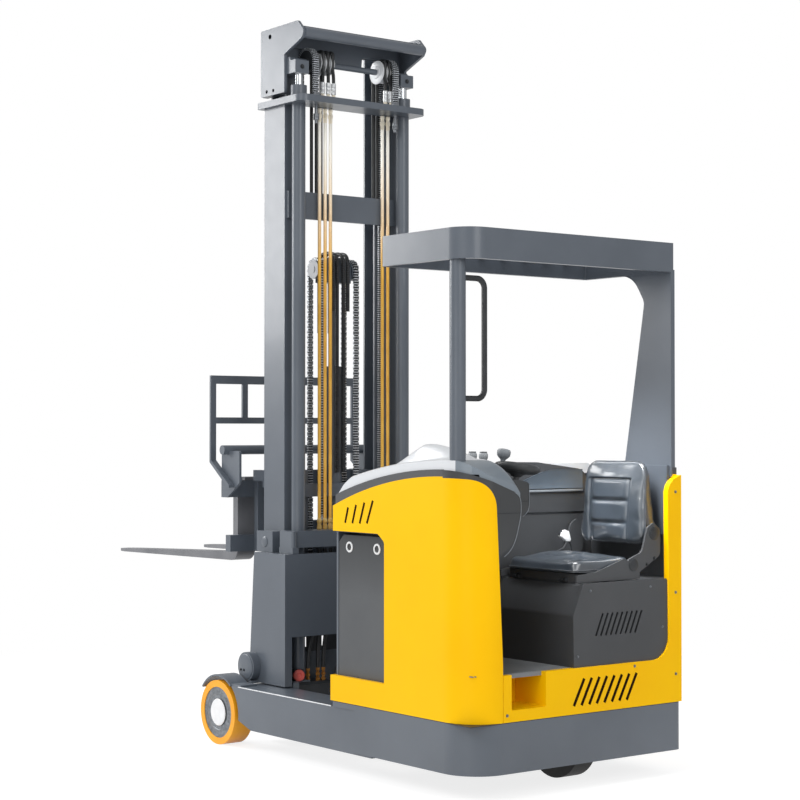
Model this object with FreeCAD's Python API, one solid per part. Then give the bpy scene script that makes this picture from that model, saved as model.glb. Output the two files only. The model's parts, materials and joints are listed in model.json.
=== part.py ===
"""An electric reach truck: a sit-on warehouse truck whose three-stage mast slides forward
on two reach legs. Millimetres. Sizes below are measured from the chassis's rear face (X = 0,
forks at +X), the truck's centre plane (Y = 0, the driver's left +Y) and the floor (Z = 0).
"""
import FreeCAD, Part
import math
import os

os.makedirs("parts", exist_ok=True)
V = FreeCAD.Vector

# Overall
LENGTH = 3250.0
HALF_WIDTH = 575.0
SKIN = 22.0

# Chassis and body
SKIRT_LOW = 103.0
DECK_LOW, DECK_TOP = 278.0, 300.0
CORNER_R = 160.0
BODY_FRONT = 905.0
CHASSIS_FRONT = 912.0
CAB_FRONT = 520.0
FLOOR_TOP = 486.0
ENTRANCE_Y = 411.0
# What is cut from the painted wall above the step, as (y, z) and corner radius
ENTRANCE_EDGE = [(400, 480), (408.7, 480), (445, 1238, 115), (600, 1254), (600, 1300), (400, 1300)]
PANEL_LOW = 303.0
BATTERY_X = (548.0, 900.0)
BATTERY_TOP = 1000.0
SILL_TOP = 410.0

# Three points of each long arc along the body's shoulder, as (x, z)
SHOULDER = ((-10.0, 1250.0), (545.0, 1222.0), (BODY_FRONT, 1121.0))
TRIM_TOP = ((-10.0, 1279.0), (452.0, 1266.0), (886.0, 1168.0))
HOOD_TOP = ((-10.0, 1322.0), (430.0, 1309.0), (788.0, 1247.0))

# Two slanted planes that shape the console's rear end, as a point and a normal
CONSOLE_TOP = ((6.0, 341.0, 1196.0), (0.0, -0.37, 1.0))
CONSOLE_CHAMFER = ((6.0, 341.0, 1196.0), (-1.7, -0.397, 1.0))
POST_AT = (130.0, 531.0)
POST_R = 32.0

# Legs and wheels
LEG_WEB = (554.0, 570.0)
LEG_INNER = 390.0
LEG_Z = (95.0, 278.0)
LEG_START = 640.0
FLANGE = 14.0
LOAD_WHEEL = (1814.0, 146.0)
LOAD_R, LOAD_CORE_R = 146.0, 116.0
LOAD_Y = (475.0, 575.0)
AXLE_R = 25.0
DRIVE_X, DRIVE_Y = 264.0, -138.0
DRIVE_R, DRIVE_CORE_R, DRIVE_W = 160.0, 105.0, 100.0

# Mast sections: X from, X to, web outer face, web thickness, flange reach, flange thickness
OUTER = (1618.0, 1786.0, 340.0, 18.0, 275.0, 16.0)
MIDDLE = (1640.0, 1764.0, 289.0, 12.0, 250.0, 12.0)
INNER = (1658.0, 1746.0, 271.0, 12.0, 205.0, 10.0)
OUTER_Z = (70.0, 2935.0)
MIDDLE_Z = (80.0, 3290.0)
INNER_Z = (90.0, 3285.0)
TIE_Z = (2935.0, 2965.0)
CYL_X, CYL_Y = 1563.0, 300.0
CYL_R, ROD_R = 31.5, 19.0
HEAD_PLATE = (341.0, 355.0)
HEAD_TUBE = (1465.0, 3245.0, 25.0)
SHEAVE_X, SHEAVE_Z = 1585.0, 3138.0

# Free lift and fork carriage
FREE_X = 1710.0
CROSS_Z = 2195.0
FREE_BARREL_R, FREE_ROD_R = 42.0, 24.0
BARREL_TOP = 1740.0
PIVOT = (1930.0, 905.0)
FORK_BACK = 2065.0
FORK_T = 41.0
FORK_TOP = 856.0
DROOP = 2.0

# Driver's place
WHEEL_AT = (215.0, 150.0, 1283.0)
WHEEL_TILT = 9.5
BACKREST_X, BACKREST_Y = 247.0, -385.0


def block(x0, x1, y0, y1, z0, z1):
    return Part.makeBox(x1 - x0, y1 - y0, z1 - z0, V(x0, y0, z0))


def runs(corners, closed):
    """Straight runs through corners [(point, radius)], each corner rounded by a tangent arc."""
    count = len(corners)
    stops = []
    for i, (here, radius) in enumerate(corners):
        if radius <= 0 or (not closed and i in (0, count - 1)):
            stops.append((here, None, here))
            continue
        back = (corners[i - 1][0] - here).normalize()
        ahead = (corners[(i + 1) % count][0] - here).normalize()
        half = math.acos(max(-1.0, min(1.0, back.dot(ahead)))) / 2
        reach = radius / math.tan(half)
        middle = (back + ahead).normalize() * (radius / math.sin(half) - radius)
        stops.append((here + back * reach, here + middle, here + ahead * reach))
    edges = []
    for i, (start, middle, end) in enumerate(stops):
        if middle is not None:
            edges.append(Part.Arc(start, middle, end).toShape())
        if i + 1 < count or closed:
            follow = stops[(i + 1) % count][0]
            if end.distanceToPoint(follow) > 1e-6:
                edges.append(Part.LineSegment(end, follow).toShape())
    return Part.Wire(edges)


PLANES = {
    "xy": (lambda a, b, c: V(a, b, c), V(0, 0, 1)),
    "xz": (lambda a, b, c: V(a, c, b), V(0, 1, 0)),
    "yz": (lambda a, b, c: V(c, a, b), V(1, 0, 0)),
}


def prism(plane, low, high, points):
    """A straight prism over an outline of (a, b) or (a, b, corner radius) points."""
    place, normal = PLANES[plane]
    corners = [(place(p[0], p[1], low), p[2] if len(p) > 2 else 0) for p in points]
    return Part.Face(runs(corners, True)).extrude(normal * (high - low))


def under_arc(arc, y0, y1, low, x_end=None):
    """The body below a long shoulder arc, from its first point to its last."""
    (xa, za), (xm, zm), (xb, zb) = arc
    edges = [
        Part.Arc(V(xa, y0, za), V(xm, y0, zm), V(xb, y0, zb)).toShape(),
        Part.LineSegment(V(xb, y0, zb), V(xb, y0, low)).toShape(),
        Part.LineSegment(V(xb, y0, low), V(xa, y0, low)).toShape(),
        Part.LineSegment(V(xa, y0, low), V(xa, y0, za)).toShape(),
    ]
    return Part.Face(Part.Wire(edges)).extrude(V(0, y1 - y0, 0))


def above(plane):
    """A large block on the far side of a slanted plane, as a cutter."""
    point, normal = plane
    slab = Part.makeBox(1600, 1600, 500, V(-800, -800, 0))
    slab.Placement = FreeCAD.Placement(V(*point), FreeCAD.Rotation(V(0, 0, 1), V(*normal)))
    return slab


def rod_y(x, z, radius, y0, y1):
    return Part.makeCylinder(radius, y1 - y0, V(x, y0, z), V(0, 1, 0))


def rod_z(x, y, radius, z0, z1):
    return Part.makeCylinder(radius, z1 - z0, V(x, y, z0))


def rod_x(y, z, radius, x0, x1):
    return Part.makeCylinder(radius, x1 - x0, V(x0, y, z), V(1, 0, 0))


def ring_y(x, z, inner, outer, y0, y1):
    return rod_y(x, z, outer, y0, y1).cut(rod_y(x, z, inner, y0 - 1, y1 + 1))


def tube(points, radius):
    """A round bar or pipe along points (x, y, z, bend radius)."""
    path = runs([(V(*p[:3]), p[3] if len(p) > 3 else 0) for p in points], False)
    start, end = V(*points[0][:3]), V(*points[1][:3])
    section = Part.Wire(Part.makeCircle(radius, start, end - start))
    return path.makePipeShell([section], True, False)


def mirror(shape):
    """The same piece on the other side of the centre plane."""
    return shape.mirror(V(0, 0, 0), V(0, 1, 0))


def both(shape):
    return Part.makeCompound([shape, mirror(shape)])


def fuse(first, *rest):
    return first.fuse(list(rest)).removeSplitter()


def slanted_slot(plane, low, high, foot, head, width):
    """A long slanted slot from foot to head, as a cutter."""
    dx, dz = head[0] - foot[0], head[1] - foot[1]
    length = math.hypot(dx, dz)
    ux, uz = dx / length * width / 2, dz / length * width / 2
    return prism(plane, low, high, [(foot[0] - uz, foot[1] + ux), (foot[0] + uz, foot[1] - ux),
                                    (head[0] + uz, head[1] - ux), (head[0] - uz, head[1] + ux)])


def save(name, shape):
    """Write one piece, moved so that the origin is under the middle of the truck's length."""
    placed = shape.copy()
    placed.translate(V(-LENGTH / 2, 0, 0))
    placed.exportStep("parts/" + name + ".step")


def skin_outline(inset, front):
    """The body's outline in plan, inset from the outside, with its round rear-left corner."""
    y = HALF_WIDTH - inset
    return [(inset, -y, max(30 - inset, 0)), (inset, y, CORNER_R - inset), (front, y), (front, -y)]


def chassis_frame():
    skirt = prism("xy", SKIRT_LOW, DECK_TOP, skin_outline(0, BODY_FRONT))
    hollow = prism("xy", SKIRT_LOW - 1, DECK_LOW, skin_outline(SKIN, BODY_FRONT + 1))
    leg_room = block(LEG_START, BODY_FRONT + 1, -LEG_WEB[1], LEG_WEB[1], SKIRT_LOW - 1, DECK_LOW)
    ahead = both(block(757, BODY_FRONT + 1, LEG_WEB[1] - 1, HALF_WIDTH + 1, SKIRT_LOW - 1, DECK_LOW))
    swing = rod_z(DRIVE_X, DRIVE_Y, 186, DECK_LOW - 1, DECK_TOP + 1)
    skirt = skirt.cut([hollow, leg_room, ahead, swing])
    front = block(BATTERY_X[1], CHASSIS_FRONT, -550, 550, DECK_TOP, 1110)
    front = front.fuse(block(BODY_FRONT, CHASSIS_FRONT, -550, 550, DECK_LOW, DECK_TOP))
    bridge = block(60, 468, -330, 10, 372, 390).cut(rod_z(DRIVE_X, DRIVE_Y, 101, 371, 391))
    posts = [block(x, x + 12, -330, 10, DECK_TOP, 372) for x in (60, 456)]
    return fuse(skirt, front, bridge, *posts)


def reach_leg():
    """One leg: a channel open inward, closed near its front, with a plate for the wheel's axle."""
    wx, wz = LOAD_WHEEL
    low, high = LEG_Z
    front = [(LEG_START, low), (1544, low), (1645, 128), (1706, high), (LEG_START, high)]
    shape = prism("xz", LEG_INNER, LEG_WEB[1], front)
    inside = block(LEG_START - 1, 1640, LEG_INNER - 1, LEG_WEB[0], low + FLANGE, high - FLANGE)
    beyond = block(1655, 1707, LEG_INNER - 1, LEG_WEB[0], low, high - FLANGE)
    shape = shape.cut([inside, beyond, rod_y(wx, wz, 168, 470, 600)])
    hook = [(1655, 118, 20), (wx, wz - 74, 60), (wx + 84, wz - 60, 50), (wx + 84, wz + 50, 50),
            (1740, high - FLANGE, 40), (1655, high - FLANGE)]
    plate = prism("xz", 438, 466, hook)
    axle = rod_y(wx, wz, AXLE_R, 466, 556)
    return fuse(shape, plate, axle)


def wheel_guard():
    """A curved strip over the load wheel, standing on the leg."""
    wx, wz = LOAD_WHEEL
    inner, outer = 165.0, 173.0

    def at(radius, degrees):
        turn = math.radians(degrees)
        return V(wx + radius * math.cos(turn), 480, wz + radius * math.sin(turn))

    edges = [
        Part.Arc(at(inner, 38), at(inner, 80), at(inner, 129)).toShape(),
        Part.LineSegment(at(inner, 129), at(outer, 129)).toShape(),
        Part.Arc(at(outer, 129), at(outer, 80), at(outer, 38)).toShape(),
        Part.LineSegment(at(outer, 38), at(inner, 38)).toShape(),
    ]
    strip = Part.Face(Part.Wire(edges)).extrude(V(0, HALF_WIDTH - 480, 0))
    foot = block(1630, 1712, 480, 568, LEG_Z[1], LEG_Z[1] + 8)
    return fuse(strip, foot)


def skin_band(low, high, front):
    """The left wall's band in plan, round the rear-left corner to the entrance."""
    whole = prism("xy", low, high, skin_outline(0, front))
    inside = prism("xy", low - 1, high + 1, skin_outline(SKIN, front + 1))
    keep = block(-1, front, ENTRANCE_Y, HALF_WIDTH + 1, low, high)
    return whole.cut(inside).common(keep)


# Side vents, as foot and head (x, z)
SIDE_VENTS = [((817, 1052), (796, 1117)), ((766, 1052), (740, 1129)),
              ((715, 1053), (682, 1140)), ((665, 1055), (624, 1150))]


def side_panel_left():
    panel = skin_band(PANEL_LOW, 1260, BODY_FRONT)
    panel = panel.common(under_arc(SHOULDER, 0, 600, PANEL_LOW - 10))
    corner = prism("yz", -1, CORNER_R + 10, ENTRANCE_EDGE)
    opening = prism("xz", 540, 580, [(BATTERY_X[0], 300), (BATTERY_X[0], 984, 20), (592, 1016, 20),
                                     (BODY_FRONT + 10, 1016), (BODY_FRONT + 10, 300)])
    cutters = [corner, opening]
    cutters += [slanted_slot("xz", 540, 580, foot, head, 9) for foot, head in SIDE_VENTS]
    return panel.cut(cutters)


def side_panel_right():
    slab = block(SKIN + 5, BODY_FRONT, -HALF_WIDTH, -HALF_WIDTH + SKIN, PANEL_LOW, 1260)
    slab = slab.common(under_arc(SHOULDER, -600, 0, PANEL_LOW - 10))
    return slab.cut([slanted_slot("xz", -580, -540, foot, head, 9) for foot, head in SIDE_VENTS])


def battery_sill():
    sill = block(BATTERY_X[0], BODY_FRONT, HALF_WIDTH - SKIN, HALF_WIDTH, PANEL_LOW, SILL_TOP)
    lip = block(BODY_FRONT, CHASSIS_FRONT + 10, 551, HALF_WIDTH, PANEL_LOW, SILL_TOP)
    return fuse(sill, lip)


def battery():
    """The battery's steel case, with bevelled ends and two lifting holes in each end wall."""
    x0, x1 = BATTERY_X
    case = prism("xz", -548, 548, [(x0, DECK_TOP), (x0, 966), (590, BATTERY_TOP), (864, BATTERY_TOP),
                                   (x1, 966), (x1, DECK_TOP)])
    holes = []
    for x in (630, 822):
        holes += [rod_y(x, 950, 16, 520, 549), rod_y(x, 950, 16, -549, -520)]
    return case.cut(holes)


REAR_SLOTS = 8
SEAT_SLOTS = 9


def rear_panel():
    """The low rear wall with the step, the louvres and the right-hand corner post."""
    outline = [(ENTRANCE_Y - 2, PANEL_LOW), (ENTRANCE_Y - 2, FLOOR_TOP), (-502, FLOOR_TOP, 92), (-496, 1222, 70),
               (-HALF_WIDTH, 1250), (-HALF_WIDTH, PANEL_LOW)]
    panel = prism("yz", 0, SKIN + 5, outline)
    pocket = prism("yz", 0, 190, [(183, 342, 12), (373, 342, 12), (373, FLOOR_TOP - 17), (183, FLOOR_TOP - 17)])
    recess = prism("yz", -1, 184, [(189, 348, 8), (367, 348, 8), (367, FLOOR_TOP + 1), (189, FLOOR_TOP + 1)])
    panel = panel.fuse(pocket).cut(recess)
    slots = []
    for i in range(REAR_SLOTS):
        y = 39 - i * 293 / (REAR_SLOTS - 1)
        slots.append(slanted_slot("yz", -1, SKIN + 6, (y, 336), (y - 57, 442), 12))
    return panel.cut(slots).removeSplitter()


def floor_mat():
    return block(SKIN + 5, CAB_FRONT, 31, 551, FLOOR_TOP - 17, FLOOR_TOP)


def seat_box():
    """The hollow box under the seat, with its slanted rear grille."""
    upper = prism("yz", 8, 515, [(31, FLOOR_TOP), (34, 696, 30), (-22, 820, 20), (-500, 820, 12),
                                 (-502, FLOOR_TOP, 92)])
    lower = block(27, 515, -419, 31, DECK_TOP, FLOOR_TOP)
    room = block(39, 503, -407, 19, DECK_TOP - 1, 700)
    slots = []
    for i in range(SEAT_SLOTS):
        y = -90 - i * 220 / (SEAT_SLOTS - 1)
        slots.append(slanted_slot("yz", 7, 40, (y, 606), (y - 40, 696), 10))
    ledge = block(27, 515, -551, -480, 808, 820)
    lining = block(27, 515, -551, -543, 560, 1190)
    return fuse(upper, lower, ledge, lining).cut([room] + slots)


def seat_pan():
    """The seat's tray with its two side plates, each with the arm that holds the backrest."""
    tray = block(70, 470, -400, -30, 820, 855)
    valance = [(1, 824), (1, 851), (-109, 862), (-268, 910, 20), (-353, 857), (-353, 824)]
    arm = [(-287, 850, 10), (-287, 904, 20), (-368, 933, 30), (-400, 1032, 10), (-435, 1054, 10), (-474, 1024, 20),
           (-474, 918, 30), (-350, 850, 10)]
    pieces = []
    for near in (24, 490):
        pieces.append(prism("yz", near, near + 10, arm))
        pieces.append(prism("yz", near, near + 10, valance))
    ears = [block(24, 80, -200, -160, 824, 855), block(460, 500, -200, -160, 824, 855)]
    return fuse(tray, *pieces, *ears)


def seat_cushion():
    return prism("yz", 40, 484, [(-4, 855, 10), (0, 905, 40), (-60, 932, 60), (-345, 928, 20), (-352, 855)])


def seat_backrest():
    """A tapered back with a bulged shell, leaning slightly away from the driver."""
    x, y = BACKREST_X, BACKREST_Y
    face = [(x - 190, 945, 45), (x + 190, 945, 45), (x + 208, 1010, 60), (x + 178, 1325, 65), (x - 178, 1325, 65),
            (x - 208, 1010, 60)]
    side = [(y + 4, 944), (y - 30, 1326), (y - 60, 1326), (y - 95, 1090, 120), (y - 80, 944)]
    return prism("xz", y - 120, y + 20, face).common(prism("yz", 0, 520, side))


def front_wall():
    """The wall between the driver and the battery, with its shaped top."""
    return prism("yz", CAB_FRONT, CAB_FRONT + 26, [(551, DECK_TOP), (551, 1180), (300, 1290, 60), (-88, 1302, 60),
                                                  (-233, 1300, 60), (-492, 1268, 60), (-551, 1200, 30), (-551, DECK_TOP)])


def hood():
    """The pale top cover: a shaped lid over the battery, a rail along the left console and a hump."""
    def lid(y0, y1, x0, x1, low):
        body = under_arc(HOOD_TOP, y0, y1, low)
        nose = prism("xz", y0, y1, [(788, low), (788, 1247), (835, 1219), (886, 1168), (886, low)])
        return body.fuse(nose).common(block(x0, x1, y0, y1, low, 1400))

    over = lid(-551, 551, CAB_FRONT + 26, 886, 1020)
    brow = lid(-HALF_WIDTH + 4, HALF_WIDTH - 4, CAB_FRONT + 26, 886, 1100).cut(
        under_arc(TRIM_TOP, -600, 600, 1000))
    rail = prism("yz", 6, CAB_FRONT + 26, [(314, 1150), (314, 1222), (350, 1296, 30), (390, 1318, 30), (420, 1340),
                                           (600, 1340), (600, 1150)])
    rail = rail.common(under_arc(HOOD_TOP, 300, 600, 1100)).cut(above(CONSOLE_CHAMFER))
    rail = rail.common(prism("xy", 1100, 1400, skin_outline(4, CAB_FRONT + 26)))
    rail = rail.cut(block(98, 162, 499, 600, 1200, 1400))
    hump = prism("xz", 290, 470, [(336, 1300), (336, 1360, 40), (510, 1389, 80), (618, 1362, 60), (760, 1300),
                                  (760, 1240), (548, 1240), (548, 1300)])
    return fuse(over, brow, rail, hump)


def trim_band():
    """The dark band between the painted side panels and the pale hood."""
    left = skin_band(1110, 1290, 886).cut(block(98, 162, 499, 600, 1200, 1400))
    right = block(SKIN + 5, 886, -HALF_WIDTH, -HALF_WIDTH + SKIN, 1110, 1290)
    region = under_arc(TRIM_TOP, -600, 600, 1000).cut(under_arc(SHOULDER, -600, 600, 1000))
    corner = prism("yz", -1, CORNER_R + 10, ENTRANCE_EDGE)
    return Part.makeCompound([left.common(region).cut(corner), right.common(region)])


def console():
    """The left-hand console: its rear end rounds the truck's corner where the painted wall is cut away."""
    body = prism("yz", 6, CAB_FRONT, [(HALF_WIDTH, 944), (429, 944, 60), (345, 1000, 60), (314, 1110, 20),
                                      (314, 1170, 10), (341, 1196), (HALF_WIDTH, 1300)])
    body = body.common(prism("xy", 900, 1400, skin_outline(0, CAB_FRONT)))
    return body.cut(above(CONSOLE_TOP)).common(under_arc(TRIM_TOP, 0, 600, 900))


def steering_column():
    x, y, z = WHEEL_AT
    housing = prism("yz", x - 36, x + 40, [(330, 1090), (150, 1090, 25), (118, 1130, 25), (118, z - 56, 15),
                                           (180, z - 44, 15), (330, z - 44)])
    lean = math.radians(WHEEL_TILT)
    along = V(0, -math.sin(lean), math.cos(lean))
    shaft = Part.makeCylinder(13, 45, V(x, y, z) - along * 80, along)
    return fuse(housing, shaft)


def steering_wheel():
    """A small one-hand wheel: a thick rim on a cone, tilted toward the driver, with its knob."""
    profile = [(0, -34), (20, -34), (30, -12), (90, 0), (90, 16), (0, 16)]
    outline = Part.makePolygon([V(r, 0, z) for r, z in profile + profile[:1]])
    dish = Part.Face(outline).revolve(V(0, 0, 0), V(0, 0, 1), 360)
    wheel = fuse(dish, rod_z(38, 49, 12, 16, 34), rod_z(38, 49, 24, 34, 62))
    wheel.rotate(V(0, 0, 0), V(1, 0, 0), WHEEL_TILT)
    wheel.translate(V(*WHEEL_AT))
    return wheel


def control_levers():
    """A pod beside the console with a row of three levers."""
    levers = [fuse(rod_z(x, 215, 6, 1240, 1320), rod_z(x, 215, 15, 1320, 1350)) for x in (350, 420, 490)]
    pod = prism("yz", 322, 512, [(365, 1180), (185, 1205), (185, 1245), (365, 1262)])
    return fuse(pod, *levers)


def overhead_guard():
    """Roof frame with fore-and-aft bars, a round rear-left post and a wide blade on the right."""
    left, right = 575.0, -568.0
    low, high = 2104.0, 2227.0
    rear, front = 29.0, 572.0
    roof = prism("xy", low, high, [(rear, right, 12), (rear, left, 100), (front, left, 20), (front, right, 12)])
    room = prism("xy", low - 1, high - 30, [(rear + 24, right + 24, 5), (rear + 24, left - 24, 76),
                                            (front - 24, left - 24, 5), (front - 24, right + 24, 5)])
    window = prism("xy", low - 1, high + 1, [(rear + 50, right + 50, 5), (rear + 50, left - 50, 60),
                                             (front - 50, left - 50, 5), (front - 50, right + 50, 5)])
    roof = roof.cut([room, window])
    bars = [block(rear + 40, front - 40, y - 16, y + 16, high - 62, high - 22) for y in range(-420, 480, 120)]
    bars = [bar.fuse(block(rear + 24, rear + 50, -16 + y, 16 + y, high - 62, high - 22)) for bar, y in
            zip(bars, range(-420, 480, 120))]
    bars = [bar.fuse(block(front - 50, front - 24, -16 + y, 16 + y, high - 62, high - 22)) for bar, y in
            zip(bars, range(-420, 480, 120))]
    blade = prism("xz", right, right + 22, [(rear, 1244), (rear, low + 10), (front, low + 10), (front, low, 5),
                                            (260, low, 120), (189, 1990, 60), (189, 1970, 200), (305, 1300, 20),
                                            (305, 1244)])
    knee = prism("yz", rear, 330, [(right, low - 110), (right, low + 2), (right + 140, low + 2), (right + 140, low)])
    arch = rod_x(right + 22 + 120, low - 120, 120, rear - 1, 331)
    knee = prism("yz", rear, 300, [(right, low - 120), (right, low + 4), (right + 142, low + 4), (right + 142, low - 120)])
    knee = knee.cut(arch).common(prism("xz", -600, 0, [(rear, low - 130), (rear, high), (300, high), (300, low + 4),
                                                       (300, low, 0), (189, low - 130)]))
    knee = knee.cut(block(rear - 1, 331, right + 22, right + 143, low - 121, low - 120 + 1))
    foot = block(40, 300, -552, -530, 1000, 1290).cut(block(39, 301, -547, -529, 1291, 1292))
    post = rod_z(*POST_AT, POST_R, 1150, high - 30)
    return fuse(roof, blade, knee, foot, post, *bars)


def grab_handle():
    """A bent eight-sided bar that stands off the post on the driver's side."""
    post, out = 502.0, 395.0
    corners = [(V(130, post, 2035), 0), (V(130, out, 2035), 38), (V(130, out, 1562), 38), (V(130, post, 1562), 0)]
    path = runs(corners, False)
    turns = [math.radians(22.5 + 45 * i) for i in range(9)]
    ring = Part.makePolygon([V(130 + 12 * math.cos(t), post, 2035 + 12 * math.sin(t)) for t in turns])
    return path.makePipeShell([ring], True, False)


def drive_unit():
    """Turntable, gear case beside the wheel and the upright motor, all turning to steer."""
    table = rod_z(DRIVE_X, DRIVE_Y, 150, 335, 365)
    motor = rod_z(DRIVE_X, DRIVE_Y, 95, 365, 640)
    case = prism("xz", DRIVE_Y - 118, DRIVE_Y - 58, [(DRIVE_X - 72, 335), (DRIVE_X - 72, 150, 70),
                                                     (DRIVE_X, 62, 70), (DRIVE_X + 72, 150, 70), (DRIVE_X + 72, 335)])
    case = case.cut(rod_y(DRIVE_X, DRIVE_R, 31, DRIVE_Y - 90, DRIVE_Y))
    return fuse(table, motor, case)


def drive_wheel_tyre():
    return ring_y(DRIVE_X, DRIVE_R, DRIVE_CORE_R, DRIVE_R, DRIVE_Y - DRIVE_W / 2, DRIVE_Y + DRIVE_W / 2)


def drive_wheel_hub():
    core = rod_y(DRIVE_X, DRIVE_R, DRIVE_CORE_R, DRIVE_Y - 44, DRIVE_Y + 20)
    return fuse(core, rod_y(DRIVE_X, DRIVE_R, 30, DRIVE_Y - 85, DRIVE_Y))


def load_tyre():
    return ring_y(*LOAD_WHEEL, LOAD_CORE_R, LOAD_R, *LOAD_Y)


def load_hub():
    x, z = LOAD_WHEEL
    core = ring_y(x, z, AXLE_R + 1, LOAD_CORE_R, 478, 560)
    return fuse(core, rod_y(x, z, 63, 560, 572))


def channel(section, z, closed_front=True):
    """A mast upright on the left side, open toward the centre."""
    x0, x1, web, thick, reach, flange = section
    shape = block(x0, x1, reach, web, *z)
    return shape.cut(block(x0 + flange, x1 - flange, reach - 1, web - thick, z[0] - 1, z[1] + 1))


def outer_mast():
    upright = channel(OUTER, OUTER_Z)
    plate = prism("xy", *TIE_Z, [(1450, -365, 45), (1450, 365, 45), (1812, 365, 10), (1812, 326), (1600, 326),
                                 (1600, -326), (1812, -326), (1812, -365, 10)])
    holes = [rod_z(CYL_X, y, CYL_R + 1, 2900, 3000) for y in (CYL_Y, -CYL_Y)]
    beam = prism("xy", 905, 980, [(1500, -352), (1500, 352), (1484, 368, 12), (1484, 385, 12), (1593, 385, 8),
                                  (1593, 340), (1618, 340), (1618, -340), (1593, -340), (1593, -385, 8),
                                  (1484, -385, 12), (1484, -368, 12)])
    beam = beam.cut([rod_z(CYL_X, y, CYL_R + 1, 900, 990) for y in (CYL_Y, -CYL_Y)])
    lugs = [block(1484, 1593, 352, 385, 879, 906), block(1648, 1778, 340, 385, 879, 974)]
    lugs += [mirror(lug) for lug in lugs]
    bar = block(1602, 1618, -330, 330, 2415, 2540)
    low = block(1602, 1618, -330, 330, 70, 439)
    return fuse(upright, mirror(upright), plate.cut(holes), beam, bar, low, *lugs)


def lift_barrels():
    barrel = rod_z(CYL_X, CYL_Y, CYL_R, 300, TIE_Z[1]).fuse(rod_z(CYL_X, CYL_Y, 38, TIE_Z[1], 3020))
    return both(barrel.cut(rod_z(CYL_X, CYL_Y, ROD_R + 1, 330, 3021)))


def lift_rods():
    return both(rod_z(CYL_X, CYL_Y, ROD_R, 340, 3074))


# Hydraulic pipes up the rear of the mast, as y
PIPES = (168.0, 136.0, 106.0, -197.0, -229.0)
PIPE_X = 1584.0


def mast_pipes():
    return Part.makeCompound([rod_z(PIPE_X, y, 8, 980, 2925) for y in PIPES])


def reach_carriage():
    """The frame that carries the mast along the legs: side boxes, rear plate and roller arms."""
    side = prism("xz", 345, 430, [(1478, 284), (1478, 878), (1732, 878), (1765, 400), (1765, 284)])
    side = side.cut(block(1477, 1715, 344, 392, 283, 850))
    arm = prism("xz", 353, 383, [(1215, 118, 30), (1620, 118, 30), (1700, 284), (1700, 300), (1478, 300),
                                 (1478, 262), (1215, 262, 30)])
    boss = rod_y(1740, 354, 66, 430, 470)
    seat = block(1520, 1602, 262, 393, 284, 300)
    bracket = block(1618, 1700, 340, 393, 500, 840)
    rear = block(1478, 1490, -393, 393, 505, 878)
    low = block(1500, 1580, -354, 354, 130, 200)
    half = fuse(side, arm, boss, seat, bracket)
    return fuse(half, mirror(half), rear, low)


def carriage_rollers():
    z = (LEG_Z[0] + LEG_Z[1]) / 2
    return Part.makeCompound([both(rod_y(x, z, 72, 383, 546)) for x in (1290, 1560)])


def middle_mast():
    x0, x1, web, thick, reach, flange = MIDDLE
    outer_reach = 316.0
    upright = block(x0, x1, reach, outer_reach, *MIDDLE_Z)
    pockets = [block(x0 + flange, x1 - flange, reach - 1, web - thick, *MIDDLE_Z),
               block(x0 + flange, x1 - flange, web, outer_reach + 1, *MIDDLE_Z)]
    upright = upright.cut(pockets)
    ties = [block(1624, 1640, -266, 266, low, high) for low, high in ((90, 190), (1130, 1190), (2425, 2525))]
    return fuse(upright, mirror(upright), *ties)


def mast_head():
    """Side plates, top tube, cross plate and rod brackets that cap the middle mast."""
    x, z, r = HEAD_TUBE
    y0, y1 = HEAD_PLATE
    plate = prism("xz", y0, y1, [(1600, 2990, 6), (1795, 2990, 6), (1795, 3300, 8), (1492, 3302, 12), (1440, 3248, 20),
                                 (1462, 3218, 10), (1600, 3165)])
    spacer = block(1640, 1795, 316, y0, 2990, 3290)
    bracket = block(1530, 1640, 266, y0, 3074, 3133)
    half = fuse(plate, spacer, bracket)
    tube_bar = rod_y(x, z, r, -y0, y0)
    cross = prism("yz", 1628, 1640, [(-317, 3208), (-317, 3284), (317, 3284), (317, 3208), (110, 3208, 10),
                                     (104, 3142, 8), (-104, 3142, 8), (-110, 3208, 10)])
    lintel = block(1500, 1640, -y0, y0, 3270, 3284)
    axle = rod_y(SHEAVE_X, SHEAVE_Z, 14, -y0, y0)
    return fuse(half, mirror(half), tube_bar, cross, lintel, axle)


# Chain sheaves and hose pulleys on the head's axle, as y centre, radius, width
SHEAVES = [(231, 54, 32), (-231, 54, 32), (180, 50, 20), (153, 50, 20), (126, 50, 20), (-145, 50, 20), (-172, 50, 20)]


def head_sheaves():
    wheels = [ring_y(SHEAVE_X, SHEAVE_Z, 14.5, radius, y - width / 2, y + width / 2) for y, radius, width in SHEAVES]
    return Part.makeCompound(wheels)


def lift_chain(y):
    """A leaf chain from its anchor under the tie plate, over the sheave and down inside."""
    inner, outer, half = 54.0, 66.0, 15.0
    bend = ring_y(SHEAVE_X, SHEAVE_Z, inner, outer, y - half, y + half)
    bend = bend.common(block(SHEAVE_X - 100, SHEAVE_X + 100, y - 40, y + 40, SHEAVE_Z, SHEAVE_Z + 100))
    rear = block(SHEAVE_X - outer, SHEAVE_X - inner, y - half, y + half, 2971, SHEAVE_Z)
    front = block(SHEAVE_X + inner, SHEAVE_X + outer, y - half, y + half, 3000, SHEAVE_Z)
    return fuse(bend, rear, front)


def inner_mast():
    upright = channel(INNER, INNER_Z)
    ties = [block(1646, 1658, -210, 210, low, high) for low, high in ((90, 200), (480, 560), (3205, 3275))]
    foot = block(1646, 1760, -60, 60, 90, 110)
    return fuse(upright, mirror(upright), foot, *ties)


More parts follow.
